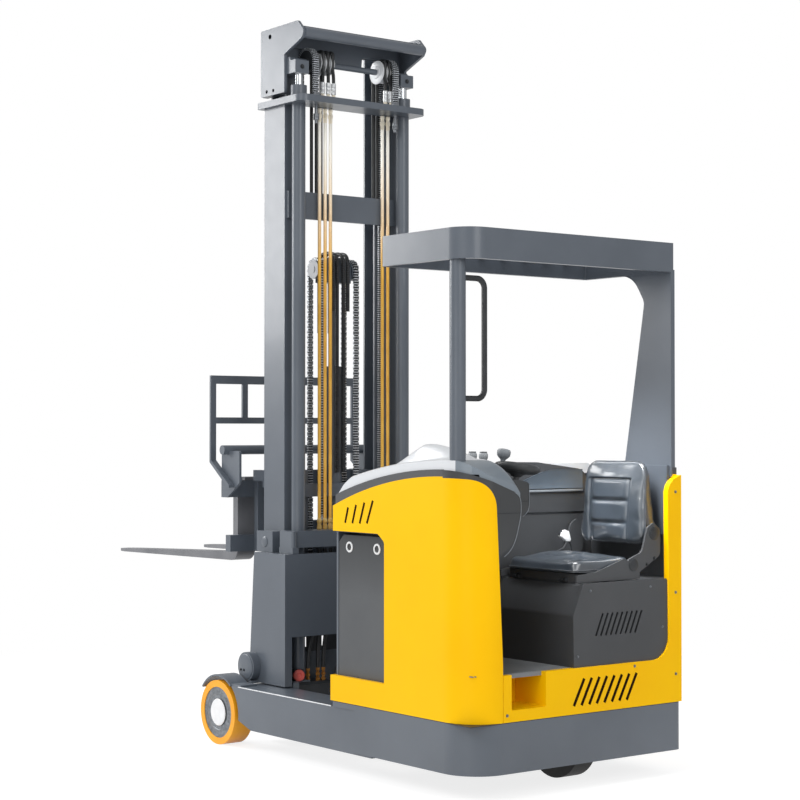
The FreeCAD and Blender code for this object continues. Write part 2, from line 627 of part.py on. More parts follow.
def free_lift_barrel():
    barrel = rod_z(FREE_X, 0, FREE_BARREL_R, 110, BARREL_TOP)
    return barrel.cut(rod_z(FREE_X, 0, FREE_ROD_R + 1, 140, BARREL_TOP + 1))


def lift_crosshead():
    """The free-lift rod's head with its two chain sheaves and a guard plate."""
    rod = rod_z(FREE_X, 0, FREE_ROD_R, 540, CROSS_Z - 55)
    head = block(FREE_X - 35, FREE_X + 35, -78, 78, CROSS_Z - 60, CROSS_Z + 20)
    shaft = rod_y(FREE_X, CROSS_Z, 15, -118, 118)
    cap = prism("yz", FREE_X - 30, FREE_X + 30, [(-60, CROSS_Z + 10), (-60, CROSS_Z + 60, 20), (60, CROSS_Z + 60, 20),
                                                 (60, CROSS_Z + 10)])
    wheels = [rod_y(FREE_X, CROSS_Z, 44, y - 18, y + 18) for y in (98, -98)]
    return fuse(rod, head, shaft, cap, *wheels)


def crosshead_chains():
    pieces = []
    for y in (98.0, -98.0):
        bend = ring_y(FREE_X, CROSS_Z, 44.5, 55, y - 14, y + 14)
        bend = bend.common(block(FREE_X - 80, FREE_X + 80, y - 30, y + 30, CROSS_Z, CROSS_Z + 80))
        rear = block(FREE_X - 55, FREE_X - 44.5, y - 14, y + 14, 1040, CROSS_Z)
        front = block(FREE_X + 44.5, FREE_X + 55, y - 14, y + 14, 860, CROSS_Z)
        pieces.append(fuse(bend, rear, front))
    return Part.makeCompound(pieces)


def fork_carriage():
    """Roller plates in the inner mast, two cross plates and the pivot lugs."""
    plate = block(1672, 1850, 170, 192, 815, 1250)
    rollers = [rod_y(1702, z, 28, 192, 250) for z in (860, 1205)]
    lug = prism("xz", 100, 130, [(1840, 850), (PIVOT[0] + 34, 850, 30), (PIVOT[0] + 34, PIVOT[1] + 40, 30),
                                 (1840, 990)])
    half = fuse(plate, *rollers)
    half = half.fuse(lug)
    cross = [block(1800, 1850, -300, 300, 1170, 1250), block(1800, 1850, -300, 300, 815, 900),
             block(1800, 1850, -170, 170, 960, 1010)]
    uprights = both(block(1800, 1850, 130, 170, 900, 1170))
    beam = both(block(1850, 1940, 300 - 40, 300, 1200, 1250).fuse(block(1800, 1860, 260, 300, 1170, 1250)))
    pin = rod_y(*PIVOT, 20, -110, 110)
    return fuse(half, mirror(half), *cross, *uprights.Solids, *beam.Solids, pin)


def tilt_frame():
    """The fork carrier that tilts on the pivot pin: two bars, ribs, side plates and the shaft."""
    px, pz = PIVOT
    upper = block(2022, FORK_BACK - 2, -400, 400, 1120, 1200)
    lower = block(2022, FORK_BACK - 2, -375, 375, 862, 940)
    ribs = [block(1990, 2022, y - 20, y + 20, 862, 1200) for y in (-220, 0, 220)]
    knuckle = prism("xz", -80, 80, [(2022, 870), (px - 10, 872, 30), (px - 34, pz, 30), (px - 10, pz + 34, 30),
                                    (2022, 945)])
    knuckle = knuckle.cut(rod_y(px, pz, 21, -81, 81))
    side = prism("xz", 388, 400, [(1905, 1341, 15), (2060, 1341, 15), (2060, 1120), (2010, 1120), (1905, 1190, 15)])
    shaft = rod_y(2010, 1345, 22, -430, 430)
    return fuse(upper, lower, knuckle, side, mirror(side), shaft, *ribs)


def fork():
    """One forged fork: upright shank with hooks, a curved heel and a tapered blade with a slight droop."""
    x0, x1 = FORK_BACK, FORK_BACK + FORK_T
    length = LENGTH - x1
    drop = math.tan(math.radians(DROOP)) * length
    outline = [(x0, 1215), (x0, FORK_TOP - FORK_T, 60), (LENGTH, FORK_TOP - drop - 14), (LENGTH, FORK_TOP - drop),
               (x1, FORK_TOP, 25), (x1, 1215)]
    blade = prism("xz", 206, 306, outline)
    nose = prism("xy", 700, 1300, [(x0 - 50, 200), (x0 - 50, 312), (LENGTH - 90, 306, 60), (LENGTH, 286, 30),
                                   (LENGTH, 226, 30), (LENGTH - 90, 206, 60)])
    blade = blade.common(nose)
    hook = block(2018, x0, 216, 296, 1200, 1215)
    return fuse(blade, hook)


def load_backrest():
    """Flat-bar frame above the forks, bent back to the carrier at its feet."""
    x0, x1 = 2110.0, 2122.0
    top = 1700.0
    bars = [block(x0, x1, -430, 430, top - 40, top), block(x0, x1, -400, 400, 1470, 1500)]
    side = block(x0, x1, 400, 430, 1290, top)
    foot = prism("xz", 400, 430, [(x1, 1302), (x0, 1302), (x0, 1296), (1950, 1182), (1950, 1168), (1962, 1168),
                                  (x1, 1286)])
    middle = block(x0, x1, 220, 250, 1500, top - 40)
    half = fuse(side, foot)
    return fuse(*bars, half, mirror(half), middle, mirror(middle))


PIECES = {
    "chassis_frame": chassis_frame,
    "reach_leg_left": reach_leg,
    "reach_leg_right": lambda: mirror(reach_leg()),
    "load_wheel_guards": lambda: both(wheel_guard()),
    "side_panel_left": side_panel_left,
    "side_panel_right": side_panel_right,
    "battery_sill": battery_sill,
    "battery": battery,
    "rear_panel": rear_panel,
    "floor_mat": floor_mat,
    "seat_box": seat_box,
    "seat_pan": seat_pan,
    "seat_cushion": seat_cushion,
    "seat_backrest": seat_backrest,
    "trim_band": trim_band,
    "overhead_guard": overhead_guard,
    "hood": hood,
    "front_wall": front_wall,
    "console": console,
    "steering_column": steering_column,
    "steering_wheel": steering_wheel,
    "control_levers": control_levers,
    "grab_handle": grab_handle,
    "drive_unit": drive_unit,
    "drive_wheel_tyre": drive_wheel_tyre,
    "drive_wheel_hub": drive_wheel_hub,
    "load_tyre_left": load_tyre,
    "load_tyre_right": lambda: mirror(load_tyre()),
    "load_hub_left": load_hub,
    "load_hub_right": lambda: mirror(load_hub()),
    "outer_mast": outer_mast,
    "lift_barrels": lift_barrels,
    "lift_rods": lift_rods,
    "mast_pipes": mast_pipes,
    "reach_carriage": reach_carriage,
    "carriage_rollers": carriage_rollers,
    "middle_mast": middle_mast,
    "mast_head": mast_head,
    "head_sheaves": head_sheaves,
    "lift_chains": lambda: Part.makeCompound([lift_chain(231), lift_chain(-231)]),
    "inner_mast": inner_mast,
    "free_lift_barrel": free_lift_barrel,
    "lift_crosshead": lift_crosshead,
    "crosshead_chains": crosshead_chains,
    "fork_carriage": fork_carriage,
    "tilt_frame": tilt_frame,
    "fork_left": fork,
    "fork_right": lambda: mirror(fork()),
    "load_backrest": load_backrest,
}

# Where a piece is cut to fit round its neighbours
SEATED = {
    "overhead_guard": ["side_panel_left"],
    "side_panel_right": ["overhead_guard"],
    "trim_band": ["overhead_guard", "side_panel_right"],
    "console": ["overhead_guard", "side_panel_left", "trim_band"],
    "hood": ["overhead_guard", "console", "trim_band", "side_panel_left"],
    "front_wall": ["hood", "overhead_guard"],
    "control_levers": ["console", "hood"],
    "steering_column": ["console", "hood"],
    "floor_mat": ["side_panel_left"],
    "grab_handle": ["overhead_guard"],
    "seat_box": ["rear_panel", "overhead_guard", "front_wall"],
}

built = {name: build() for name, build in PIECES.items()}
for name, neighbours in SEATED.items():
    left = [part for solid in built[name].Solids for part in solid.cut([built[other] for other in neighbours]).Solids]
    largest = max(solid.Volume for solid in left)
    built[name] = Part.makeCompound([solid for solid in left if solid.Volume > largest / 50])
for name, shape in built.items():
    save(name, shape)
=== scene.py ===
# %% [markdown]
# # An electric reach truck, dressed
#
# A reach truck is a narrow warehouse truck. The driver sits sideways in a small cab, and a three-stage
# mast slides forward between two low legs. This lesson loads the rigid parts as a fixed frame, gives
# each its real finish, and adds what a frame leaves out: soft seats, hoses and their fittings, chain
# links, screws and seams.

# %% Load the frame
import bpy
import bmesh
import json
import math
from mathutils import Matrix, Vector


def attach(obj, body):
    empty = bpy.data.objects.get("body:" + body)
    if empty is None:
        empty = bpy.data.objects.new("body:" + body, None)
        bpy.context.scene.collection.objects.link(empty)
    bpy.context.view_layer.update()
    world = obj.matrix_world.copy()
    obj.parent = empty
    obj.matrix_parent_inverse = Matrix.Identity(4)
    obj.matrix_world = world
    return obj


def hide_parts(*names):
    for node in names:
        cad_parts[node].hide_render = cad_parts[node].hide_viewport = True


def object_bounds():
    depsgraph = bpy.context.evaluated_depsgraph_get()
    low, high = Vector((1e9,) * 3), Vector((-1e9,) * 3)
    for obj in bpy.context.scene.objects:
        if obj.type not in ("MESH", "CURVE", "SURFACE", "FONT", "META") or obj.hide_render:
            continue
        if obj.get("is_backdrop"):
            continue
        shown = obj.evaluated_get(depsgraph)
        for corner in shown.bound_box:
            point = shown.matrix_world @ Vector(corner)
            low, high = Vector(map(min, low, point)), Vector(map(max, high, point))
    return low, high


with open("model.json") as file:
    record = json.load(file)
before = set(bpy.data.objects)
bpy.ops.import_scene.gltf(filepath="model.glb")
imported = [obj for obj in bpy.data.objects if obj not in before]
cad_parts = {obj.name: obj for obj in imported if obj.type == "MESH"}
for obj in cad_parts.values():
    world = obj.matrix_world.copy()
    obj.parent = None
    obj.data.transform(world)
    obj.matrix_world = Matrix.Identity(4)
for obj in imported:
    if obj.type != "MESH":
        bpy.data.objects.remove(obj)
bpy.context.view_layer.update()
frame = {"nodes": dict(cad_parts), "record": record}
nodes = frame["nodes"]

# %% [markdown]
# The frame's origin lies on the floor under the middle of the truck. A fitter would measure from the
# rear face in millimetres, so `at` turns such a place into metres.

# %% Places in millimetres
REAR = -1.625


def at(x, y, z):
    """A place in metres, from millimetres off the rear face, the middle and the floor."""
    return Vector((REAR + x / 1000, y / 1000, z / 1000))


def measured(place):
    """A place in metres, back in the fitter's millimetres."""
    return (place.x - REAR) * 1000, place.y * 1000, place.z * 1000


def linear(code):
    """A colour as printed on screen, #rrggbb, as the shader's linear values."""
    parts = [int(code[i:i + 2], 16) / 255 for i in (1, 3, 5)]
    return tuple(p / 12.92 if p <= 0.04045 else ((p + 0.055) / 1.055) ** 2.4 for p in parts) + (1.0,)


def put(tree, kind, inputs=None, **settings):
    """A shader node; each input is a value, a node that feeds it, or one output of a node."""
    node = tree.nodes.new("ShaderNode" + kind)
    for name, value in settings.items():
        setattr(node, name, value)
    for socket, value in (inputs or {}).items():
        if isinstance(value, bpy.types.Node):
            value = value.outputs[0]
        if isinstance(value, bpy.types.NodeSocket):
            tree.links.new(value, node.inputs[socket])
        else:
            node.inputs[socket].default_value = value
    return node


def placed(name, data):
    """A new object in the scene."""
    piece = bpy.data.objects.new(name, data)
    bpy.context.scene.collection.objects.link(piece)
    return piece


print("the rear face is at", REAR, "m")

# %% [markdown]
# The photographer stood behind the truck's left corner, level with the middle of the cab, with a long
# lens. A long lens keeps the mast's edges nearly parallel, so the camera stands seven metres off.

# %% Camera
camera = bpy.data.cameras.new("camera")
camera.lens = 84.41
camera.sensor_width = 36.0
camera.sensor_fit = "HORIZONTAL"
camera.clip_end = 200
tripod = placed("camera", camera)
tripod.location = (-7.15491, 5.16484, 1.43574)
tripod.rotation_euler = (math.radians(90.939), 0, math.radians(-127.546))
bpy.context.scene.camera = tripod
print("camera", tripod.location[:])

# %% [markdown]
# The studio is a white room: a sky that looks white to the camera but lights the truck only
# moderately. One big soft lamp stands on the open side of the cab, weak ones behind and low down, and
# two on the far side, whose light glances off the mast's side faces and the seat. A narrow one under
# the guard lifts the seat out of its shadow.

# %% Studio light
scene = bpy.context.scene
scene.view_settings.view_transform = "Standard"
world = bpy.data.worlds.new("studio")
scene.world = world
world.use_nodes = True
sky = world.node_tree
sky.nodes.clear()
WHITE = (1, 1, 1, 1)
SKY_ON_TRUCK = 0.52
ray = put(sky, "LightPath").outputs
seen = put(sky, "Math", {0: ray["Is Camera Ray"], 1: ray["Is Transmission Ray"]}, operation="MAXIMUM")
strength = put(sky, "MapRange", {"To Min": SKY_ON_TRUCK, "To Max": 1.0, "Value": seen})
put(sky, "OutputWorld", {"Surface": put(sky, "Background", {"Color": WHITE, "Strength": strength})})


def lamp(name, place, aim, size, power):
    """A square soft lamp that the camera doesn't see."""
    light = bpy.data.lights.new(name, "AREA")
    light.shape = "SQUARE"
    light.size = size
    light.energy = power
    holder = placed(name, light)
    holder.location = place
    holder.rotation_euler = (Vector(aim) - Vector(place)).to_track_quat("-Z", "Y").to_euler()
    holder.visible_camera = False
    return holder


lamp("key", (-3.5, 7.5, 6.5), (0, 0, 1.2), 4.0, 230)
lamp("side", (-7.5, 0.5, 4.0), (-1.2, 0, 1.0), 3.0, 112)
lamp("low", (-4.0, 6.0, 0.8), (-0.5, 0, 0.7), 3.0, 40)
lamp("front_left", (4.7, 3.7, 3.3), (-0.4, 0, 1.6), 2.4, 170)
lamp("front_top", (3.2, 0.6, 5.2), (-1.0, 0, 1.2), 2.5, 140)
lamp("cab", (-1.52, 0.02, 1.85), (-1.38, -0.38, 1.0), 0.4, 4.5).data.spread = math.radians(64)
print("lamps", len(bpy.data.lights))

# %% [markdown]
# The floor is a plain pale sheet. To the camera it is white by its own glow, with a thin layer that
# takes light, so that the shadow under the truck still shows. Away from the truck it is plain white,
# so no horizon shows. To every other ray it is pale paint.

# %% Floor
bpy.ops.mesh.primitive_plane_add(size=60, location=(0, 0, 0))
floor = bpy.context.object
floor.name = "floor"
floor_paint = bpy.data.materials.new("floor_paint")
floor_paint.use_nodes = True
tree = floor_paint.node_tree
tree.nodes.clear()
ray = put(tree, "LightPath").outputs
shown = put(tree, "Math", {0: ray["Is Camera Ray"], 1: ray["Is Glossy Ray"]}, operation="MAXIMUM")
pale = put(tree, "BsdfDiffuse", {"Color": (0.75, 0.75, 0.76, 1)})
thin = put(tree, "BsdfDiffuse", {"Color": (0.34, 0.34, 0.34, 1)})
glow = put(tree, "Emission", {"Color": WHITE, "Strength": 0.80})
plain = put(tree, "Emission", {"Color": WHITE, "Strength": 1.0})
away = put(tree, "VectorMath", {0: put(tree, "TexCoord").outputs["Object"]}, operation="LENGTH")
far = put(tree, "MapRange", {"From Min": 2.0, "From Max": 4.0, "Value": away.outputs["Value"]},
          interpolation_type="SMOOTHSTEP")
near = put(tree, "AddShader", {0: thin, 1: glow})
fade = put(tree, "MixShader", {0: far, 1: near, 2: plain})
put(tree, "OutputMaterial", {"Surface": put(tree, "MixShader", {0: shown, 1: pale, 2: fade})})
floor.data.materials.append(floor_paint)
floor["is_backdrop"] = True
print("floor", floor.dimensions[:])

# %% [markdown]
# Real paint and plastic differ from a flat colour by a slow patchiness in the colour, a finer one in
# the gloss, and a fine relief, so every finish has all three. The patterns read the object's own
# coordinates, so they stay put when the part moves. Vinyl has a grain of small cells.

# %% A finish with patches, gloss and relief
def finish(name, colour, worn, roughness, patch, grain, relief, metallic=0.0, coat=0.0, spread=0.35,
           shine=0.5, cells=False):
    """Patch and grain say how fine the two patterns are, relief how strong the surface is."""
    material = bpy.data.materials.new(name)
    material.use_nodes = True
    tree = material.node_tree
    shader = tree.nodes["Principled BSDF"]
    for socket, value in (("Metallic", metallic), ("Specular IOR Level", shine), ("Coat Weight", coat),
            ("Coat Roughness", 0.12)):
        shader.inputs[socket].default_value = value
    place = put(tree, "TexCoord").outputs["Object"]

    def noise(scale, detail):
        return put(tree, "TexNoise", {"Scale": scale, "Detail": detail, "Vector": place})

    ramp = put(tree, "ValToRGB", {"Fac": noise(patch, 5)})
    stops = ramp.color_ramp.elements
    for stop, where, code in zip(stops, (0.5 - spread / 2, 0.5 + spread / 2), (worn, colour)):
        stop.position = where
        stop.color = linear(code)
    low, high = roughness
    gloss = put(tree, "MapRange", {"To Min": low, "To Max": high, "Value": noise(patch * 6, 4)})
    height = put(tree, "TexVoronoi", {"Scale": grain, "Vector": place}) if cells else noise(grain, 3)
    bump = put(tree, "Bump", {"Strength": relief, "Distance": 0.001, "Height": height})
    tree.links.new(ramp.outputs["Color"], shader.inputs["Base Color"])
    tree.links.new(gloss.outputs[0], shader.inputs["Roughness"])
    tree.links.new(bump.outputs["Normal"], shader.inputs["Normal"])
    return material


def painted_light_and_shade_by_height(material, pale, low, high):
    """Paint light or shade by height: the finish turns to another colour from one height to another, in
    metres.
    """
    tree = material.node_tree
    base = tree.nodes["Principled BSDF"].inputs["Base Color"]
    parts = put(tree, "SeparateXYZ", {0: put(tree, "TexCoord").outputs["Object"]})
    share = put(tree, "MapRange", {"From Min": low, "From Max": high, "Value": parts.outputs["Z"]})
    # Inputs 6 and 7 and output 2 are the mix node's colours.
    mix = put(tree, "Mix", {0: share, 6: base.links[0].from_socket, 7: linear(pale)}, data_type="RGBA")
    tree.links.new(mix.outputs[2], base)


finishes = {
    "frame_grey": finish("slate_paint", "#5f666f", "#565d66", (0.30, 0.42), 2.5, 420, 0.06, coat=0.15),
    "body_yellow": finish("yellow_paint", "#ffc700", "#fdc100", (0.34, 0.44), 2.5, 500, 0.03, shine=0.12),
    "battery_case": finish("battery_paint", "#54575a", "#4a4d50", (0.36, 0.5), 2.5, 300, 0.08),
    "fork_steel": finish("fork_paint", "#77787c", "#64666a", (0.38, 0.55), 6, 260, 0.12),
    "floor_mat": finish("mat_rubber", "#85898d", "#6f7377", (0.55, 0.7), 2.5, 700, 0.3),
    "trim_dark": finish("dark_moulding", "#46484b", "#3e4043", (0.42, 0.54), 2.5, 1500, 0.25),
    "hood_white": finish("pale_moulding", "#dfe2e5", "#d8dbdf", (0.26, 0.3), 1.2, 900, 0.01, coat=0.15,
                         spread=1.0),
    "seat_vinyl": finish("seat_vinyl", "#3b434c", "#31383f", (0.3, 0.38), 8, 900, 0.12, coat=0.9,
                         shine=1.0, cells=True),
    "load_tread": finish("orange_tread", "#ffb21e", "#f7a414", (0.38, 0.5), 9, 500, 0.15),
    "drive_tread": finish("black_tread", "#232323", "#181818", (0.6, 0.75), 12, 900, 0.4),
    "hub_grey": finish("hub_casting", "#3d4146", "#2f3236", (0.42, 0.58), 10, 350, 0.3),
    "pipe_gold": finish("gold_plating", "#ecb84c", "#dea53a", (0.24, 0.36), 14, 240, 0.05, metallic=0.1),
    "sheave_pale": finish("sheave_nylon", "#e6e8ea", "#d3d6d9", (0.34, 0.46), 14, 240, 0.1),
    "chain_steel": finish("chain_steel", "#6b6e72", "#45484c", (0.28, 0.45), 60, 240, 0.3, metallic=0.8),
    "rod_chrome": finish("rod_chrome", "#dfe3e7", "#cdd1d5", (0.08, 0.16), 10, 240, 0.02, metallic=1.0),
}
# Painted highlight: the plated pipes turn cream towards the mast head, where they catch the bright top
# light.
painted_light_and_shade_by_height(finishes["pipe_gold"], "#fffbf0", 2.2, 2.75)
# Painted shade: the battery case turns darker towards its top, under the hood's edge.
painted_light_and_shade_by_height(finishes["battery_case"], "#26292c", 0.75, 1.0)
slot_of = {p["node"]: p["material_slot"] for p in frame["record"]["subparts"]}
for name, node in nodes.items():
    for place in node.material_slots:
        place.material = finishes[slot_of[name]]
    if not node.material_slots:
        node.data.materials.append(finishes[slot_of[name]])
print("finishes", len(finishes))

# %% [markdown]
# Some pieces leave the paint shop with a finish of their own. The console and its column get a darker
# finish than the seat box, the mast's hoses are black rubber, their ends are crimped zinc, and a few plugs
# are red.

# %% Finishes of small pieces
def paint(name, material):
    """Give one part of the frame another finish than its slot's."""
    for place in nodes[name].material_slots:
        place.material = material


console_dark = finish("console_moulding", "#3b3d3f", "#343638", (0.4, 0.5), 2.5, 1400, 0.22)
hose_rubber = finish("hose_rubber", "#26282a", "#1b1c1e", (0.4, 0.55), 30, 1200, 0.3)
zinc = finish("zinc_plating", "#e9ebec", "#cfd2d5", (0.22, 0.36), 40, 240, 0.1, metallic=0.5)
brass = finish("brass_fitting", "#e9cb86", "#c99a48", (0.25, 0.4), 60, 240, 0.1, metallic=0.4)
# Painted highlight: the brass turns pale towards the mast head, where it catches the bright top light.
painted_light_and_shade_by_height(brass, "#fff6e2", 2.3, 2.9)
# A darker brass, for the fittings low in the opening under the carriage.
darker_brass = finish("darker_brass_fitting", "#b9813a", "#8a5a24", (0.3, 0.45), 60, 240, 0.2, metallic=0.5)
slot_shadow = finish("slot_shadow", "#24140a", "#1a0d04", (0.7, 0.85), 20, 900, 0.1, shine=0.05)
hole_shadow = finish("hole_shadow", "#060607", "#030304", (0.8, 0.95), 20, 900, 0.1, shine=0.0)
red_plastic = finish("red_plastic", "#ea6a60", "#dd5a52", (0.35, 0.45), 20, 900, 0.1)
white_plastic = finish("white_plastic", "#f2f3f4", "#e4e6e8", (0.25, 0.36), 20, 900, 0.05)
dark_steel = finish("dark_steel", "#2c2f33", "#1f2225", (0.4, 0.55), 20, 700, 0.2)
bolt_steel = finish("bolt_steel", "#8a8e93", "#6b6f74", (0.3, 0.45), 80, 240, 0.1, metallic=0.6)
paint("console", console_dark)
paint("steering_column", console_dark)
paint("grab_handle", dark_steel)
print("materials", len(bpy.data.materials))

# %% [markdown]
# A fitter works with a few habits: put a plain block or disc where the piece goes, shape it, round its
# edges, and hang it on the part that carries it. A turned piece is drawn out of a disc step by step, as
# a lathe would leave it.

# %% Habits of modelling
def use(piece):
    """Make a piece the only one chosen."""
    bpy.ops.object.select_all(action="DESELECT")
    piece.select_set(True)
    bpy.context.view_layer.objects.active = piece


def block(name, low, high):
    """A block between two corners, in millimetres."""
    a, b = at(*low), at(*high)
    bpy.ops.mesh.primitive_cube_add(size=1, location=(a + b) / 2)
    piece = bpy.context.object
    piece.name = name
    piece.scale = b - a
    bpy.ops.object.transform_apply()
    return piece


def choose(piece, kind, test):
    """Go into edit mode with the faces or edges selected whose middle and direction pass a test."""
    use(piece)
    bpy.ops.object.mode_set(mode="EDIT")
    bpy.ops.mesh.select_mode(type=kind)
    bpy.ops.mesh.select_all(action="DESELECT")
    mesh = bmesh.from_edit_mesh(piece.data)
    if kind == "FACE":
        for face in mesh.faces:
            face.select_set(test(face.calc_center_median(), face.normal))
    else:
        for edge in mesh.edges:
            a, b = edge.verts[0].co, edge.verts[1].co
            edge.select_set(test((a + b) / 2, (b - a).normalized()))
    bmesh.update_edit_mesh(piece.data)


def done_editing():
    """Turn all faces outwards and leave edit mode."""
    bpy.ops.mesh.select_all(action="SELECT")
    bpy.ops.mesh.normals_make_consistent(inside=False)
    bpy.ops.object.mode_set(mode="OBJECT")


UP = (0, 0, 1)


def turned(name, centre, axis, steps, sides):
    """A turned piece on an axis through its centre; steps are (radius, height) in millimetres."""
    bpy.ops.mesh.primitive_circle_add(vertices=sides, radius=steps[0][0] / 1000, fill_type="NGON",
        location=(0, 0, steps[0][1] / 1000))
    piece = bpy.context.object
    piece.name = name
    bpy.ops.object.transform_apply()
    bpy.ops.object.mode_set(mode="EDIT")
    bpy.ops.mesh.select_all(action="SELECT")
    for (r0, h0), (r1, h1) in zip(steps, steps[1:]):
        bpy.ops.mesh.extrude_region_move(TRANSFORM_OT_translate={"value": (0, 0, (h1 - h0) / 1000)})
        bpy.ops.transform.resize(value=(r1 / r0, r1 / r0, 1))
    done_editing()
    lean = Vector(axis).to_track_quat("Z", "Y").to_matrix().to_4x4()
    piece.matrix_world = Matrix.Translation(at(*centre)) @ lean
    bpy.ops.object.transform_apply()
    return piece


def cord(name, kind, places, radius, sides):
    """A round cord through places in metres: NURBS is smooth and open, POLY is straight and closed."""
    curve = bpy.data.curves.new(name, "CURVE")
    curve.dimensions = "3D"
    curve.bevel_depth = radius / 1000
    curve.bevel_resolution = sides
    curve.use_fill_caps = True
    curve.resolution_u = 8
    line = curve.splines.new(kind)
    line.points.add(len(places) - 1)
    for spot, place in zip(line.points, places):
        spot.co = (*place, 1)
    if kind == "NURBS":
        line.order_u = 3
        line.use_endpoint_u = True
    else:
        line.use_cyclic_u = True
    use(placed(name, curve))
    bpy.ops.object.convert(target="MESH")
    return bpy.context.object


def tube(name, points, radius):
    """A round pipe or hose along a smooth line through millimetre places."""
    return cord(name, "NURBS", [at(*point) for point in points], radius, 4)


def applied(piece, kind, **settings):
    """Put a modifier on a piece, set it and apply it."""
    use(piece)
    modifier = piece.modifiers.new(kind, kind)
    for name, value in settings.items():
        setattr(modifier, name, value)
    bpy.ops.object.modifier_apply(modifier=kind)
    return piece


def rounded(piece, width, segments=2):
    """Round the sharp edges by a few millimetres."""
    return applied(piece, "BEVEL", width=width / 1000, segments=segments, limit_method="ANGLE",
        angle_limit=math.radians(35))


def bevelled(piece, test, width, segments):
    """Round only the edges that pass a test."""
    choose(piece, "EDGE", test)
    bpy.ops.mesh.bevel(offset=width, segments=segments, affect="EDGES")
    done_editing()


def recessed(piece, test, edge, depth):
    """Sink the faces that pass a test, leaving a rim round them."""
    choose(piece, "FACE", test)
    bpy.ops.mesh.inset(thickness=edge, depth=depth)
    done_editing()


def joined(name, pieces):
    """Several shapes as one piece."""
    use(pieces[0])
    for piece in pieces:
        piece.select_set(True)
    if len(pieces) > 1:
        bpy.ops.object.join()
    pieces[0].name = name
    return pieces[0]


def hang(piece, body, material, angle=35):
    """Give a piece its finish and hang it on the body that carries it."""
    use(piece)
    bpy.ops.object.transform_apply()
    bpy.ops.object.shade_smooth_by_angle(angle=math.radians(angle))
    piece.data.materials.clear()
    piece.data.materials.append(material)
    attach(piece, body)


print("helpers ready")

# %% [markdown]
# The seat is a moulded foam cushion and back in vinyl. Foam under a tight cover bulges between its
# seams, which a block cannot show. So each one starts slightly too small, is remeshed evenly, and is
# blown up as cloth with a little pressure, with a cap on how far it may swell, and ironed smooth. The
# cushion stands on its tray, so its underside is pinned flat.

# %% Foam under a tight cover
VOXEL = 0.007
FRAMES = 20


def puffed(piece, cap, pinned=None):
    """Swell a shape as cloth, by no more than a cap in millimetres."""
    use(piece)
    piece.data.remesh_voxel_size = VOXEL
    bpy.ops.object.voxel_remesh()
    before = [v.co.copy() for v in piece.data.vertices]
    cover = piece.modifiers.new("cover", "CLOTH")
    for name, value in (("quality", 4), ("use_pressure", True), ("uniform_pressure_force", 4),
            ("tension_stiffness", 12), ("compression_stiffness", 12), ("shear_stiffness", 5),
            ("bending_stiffness", 8), ("shrink_min", 0.06)):
        setattr(cover.settings, name, value)
    cover.settings.effector_weights.gravity = 0
    cover.point_cache.frame_start = 1
    cover.point_cache.frame_end = FRAMES
    if pinned:
        held = piece.vertex_groups.new(name="held")
        held.add([v.index for v in piece.data.vertices if pinned(v.co)], 1.0, "REPLACE")
        cover.settings.vertex_group_mass = "held"
    for step in range(1, FRAMES + 1):
        scene.frame_set(step)
    bpy.ops.object.modifier_apply(modifier="cover")
    scene.frame_set(1)
    for vertex, start in zip(piece.data.vertices, before):
        move = vertex.co - start
        if move.length > cap / 1000:
            vertex.co = start + move.normalized() * cap / 1000
    applied(piece, "SMOOTH", factor=0.6, iterations=14)
    applied(piece, "SUBSURF", levels=1, render_levels=1)


def crown(u, sharp):
    """One in the middle of a pad, falling to nothing at its edges."""
    return max(0.0, 1 - abs(u) ** sharp)


print("cloth steps", FRAMES)

# %% [markdown]
# The cushion's corners and upper edges are rounded, and its top falls a little towards the front. A
# panel is pressed into the swollen cover, with three pads across it that fall off towards their seams.

# %% Seat cushion
PAD_MIDDLE = (262, -205)
cushion = block("seat_cushion_cover", (42, -348, 859), (484, -4, 914))
bevelled(cushion, lambda middle, along: abs(along.z) > 0.9, 0.05, 6)
bevelled(cushion, lambda middle, along: middle.z > 0.913, 0.02, 4)
for vertex in cushion.data.vertices:
    if vertex.co.z > 0.88:
        vertex.co.z += 0.013 * min(1.0, max(0.0, (0.03 - vertex.co.y) / 0.12)) - 0.006
puffed(cushion, 14, lambda p: p.z < 0.8605)
for vertex in cushion.data.vertices:
    x, y, z = measured(vertex.co)
    if z > 900:
        x, y = x - PAD_MIDDLE[0], y - PAD_MIDDLE[1]
        panel = min(1.0, crown(x / 105, 6) * crown(y / 105, 6) * 3)
        pads = sum(crown((y - step) / 33, 4) for step in (-68, 0, 68)) * crown(x / 96, 6)
        vertex.co.z += (-7.0 * panel + 7.5 * pads) / 1000
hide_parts("seat_cushion")
hang(cushion, "chassis", finishes["seat_vinyl"], 180)
print("cushion", len(cushion.data.vertices), [round(v, 3) for v in cushion.dimensions])

# %% [markdown]
# The back is tapered, leans away a little, and is thicker low down where it holds the driver's spine.
# Its cover has a sunken panel with three pads across. The panel and the pads are pressed in after the
# swelling, because remeshing would lose them.

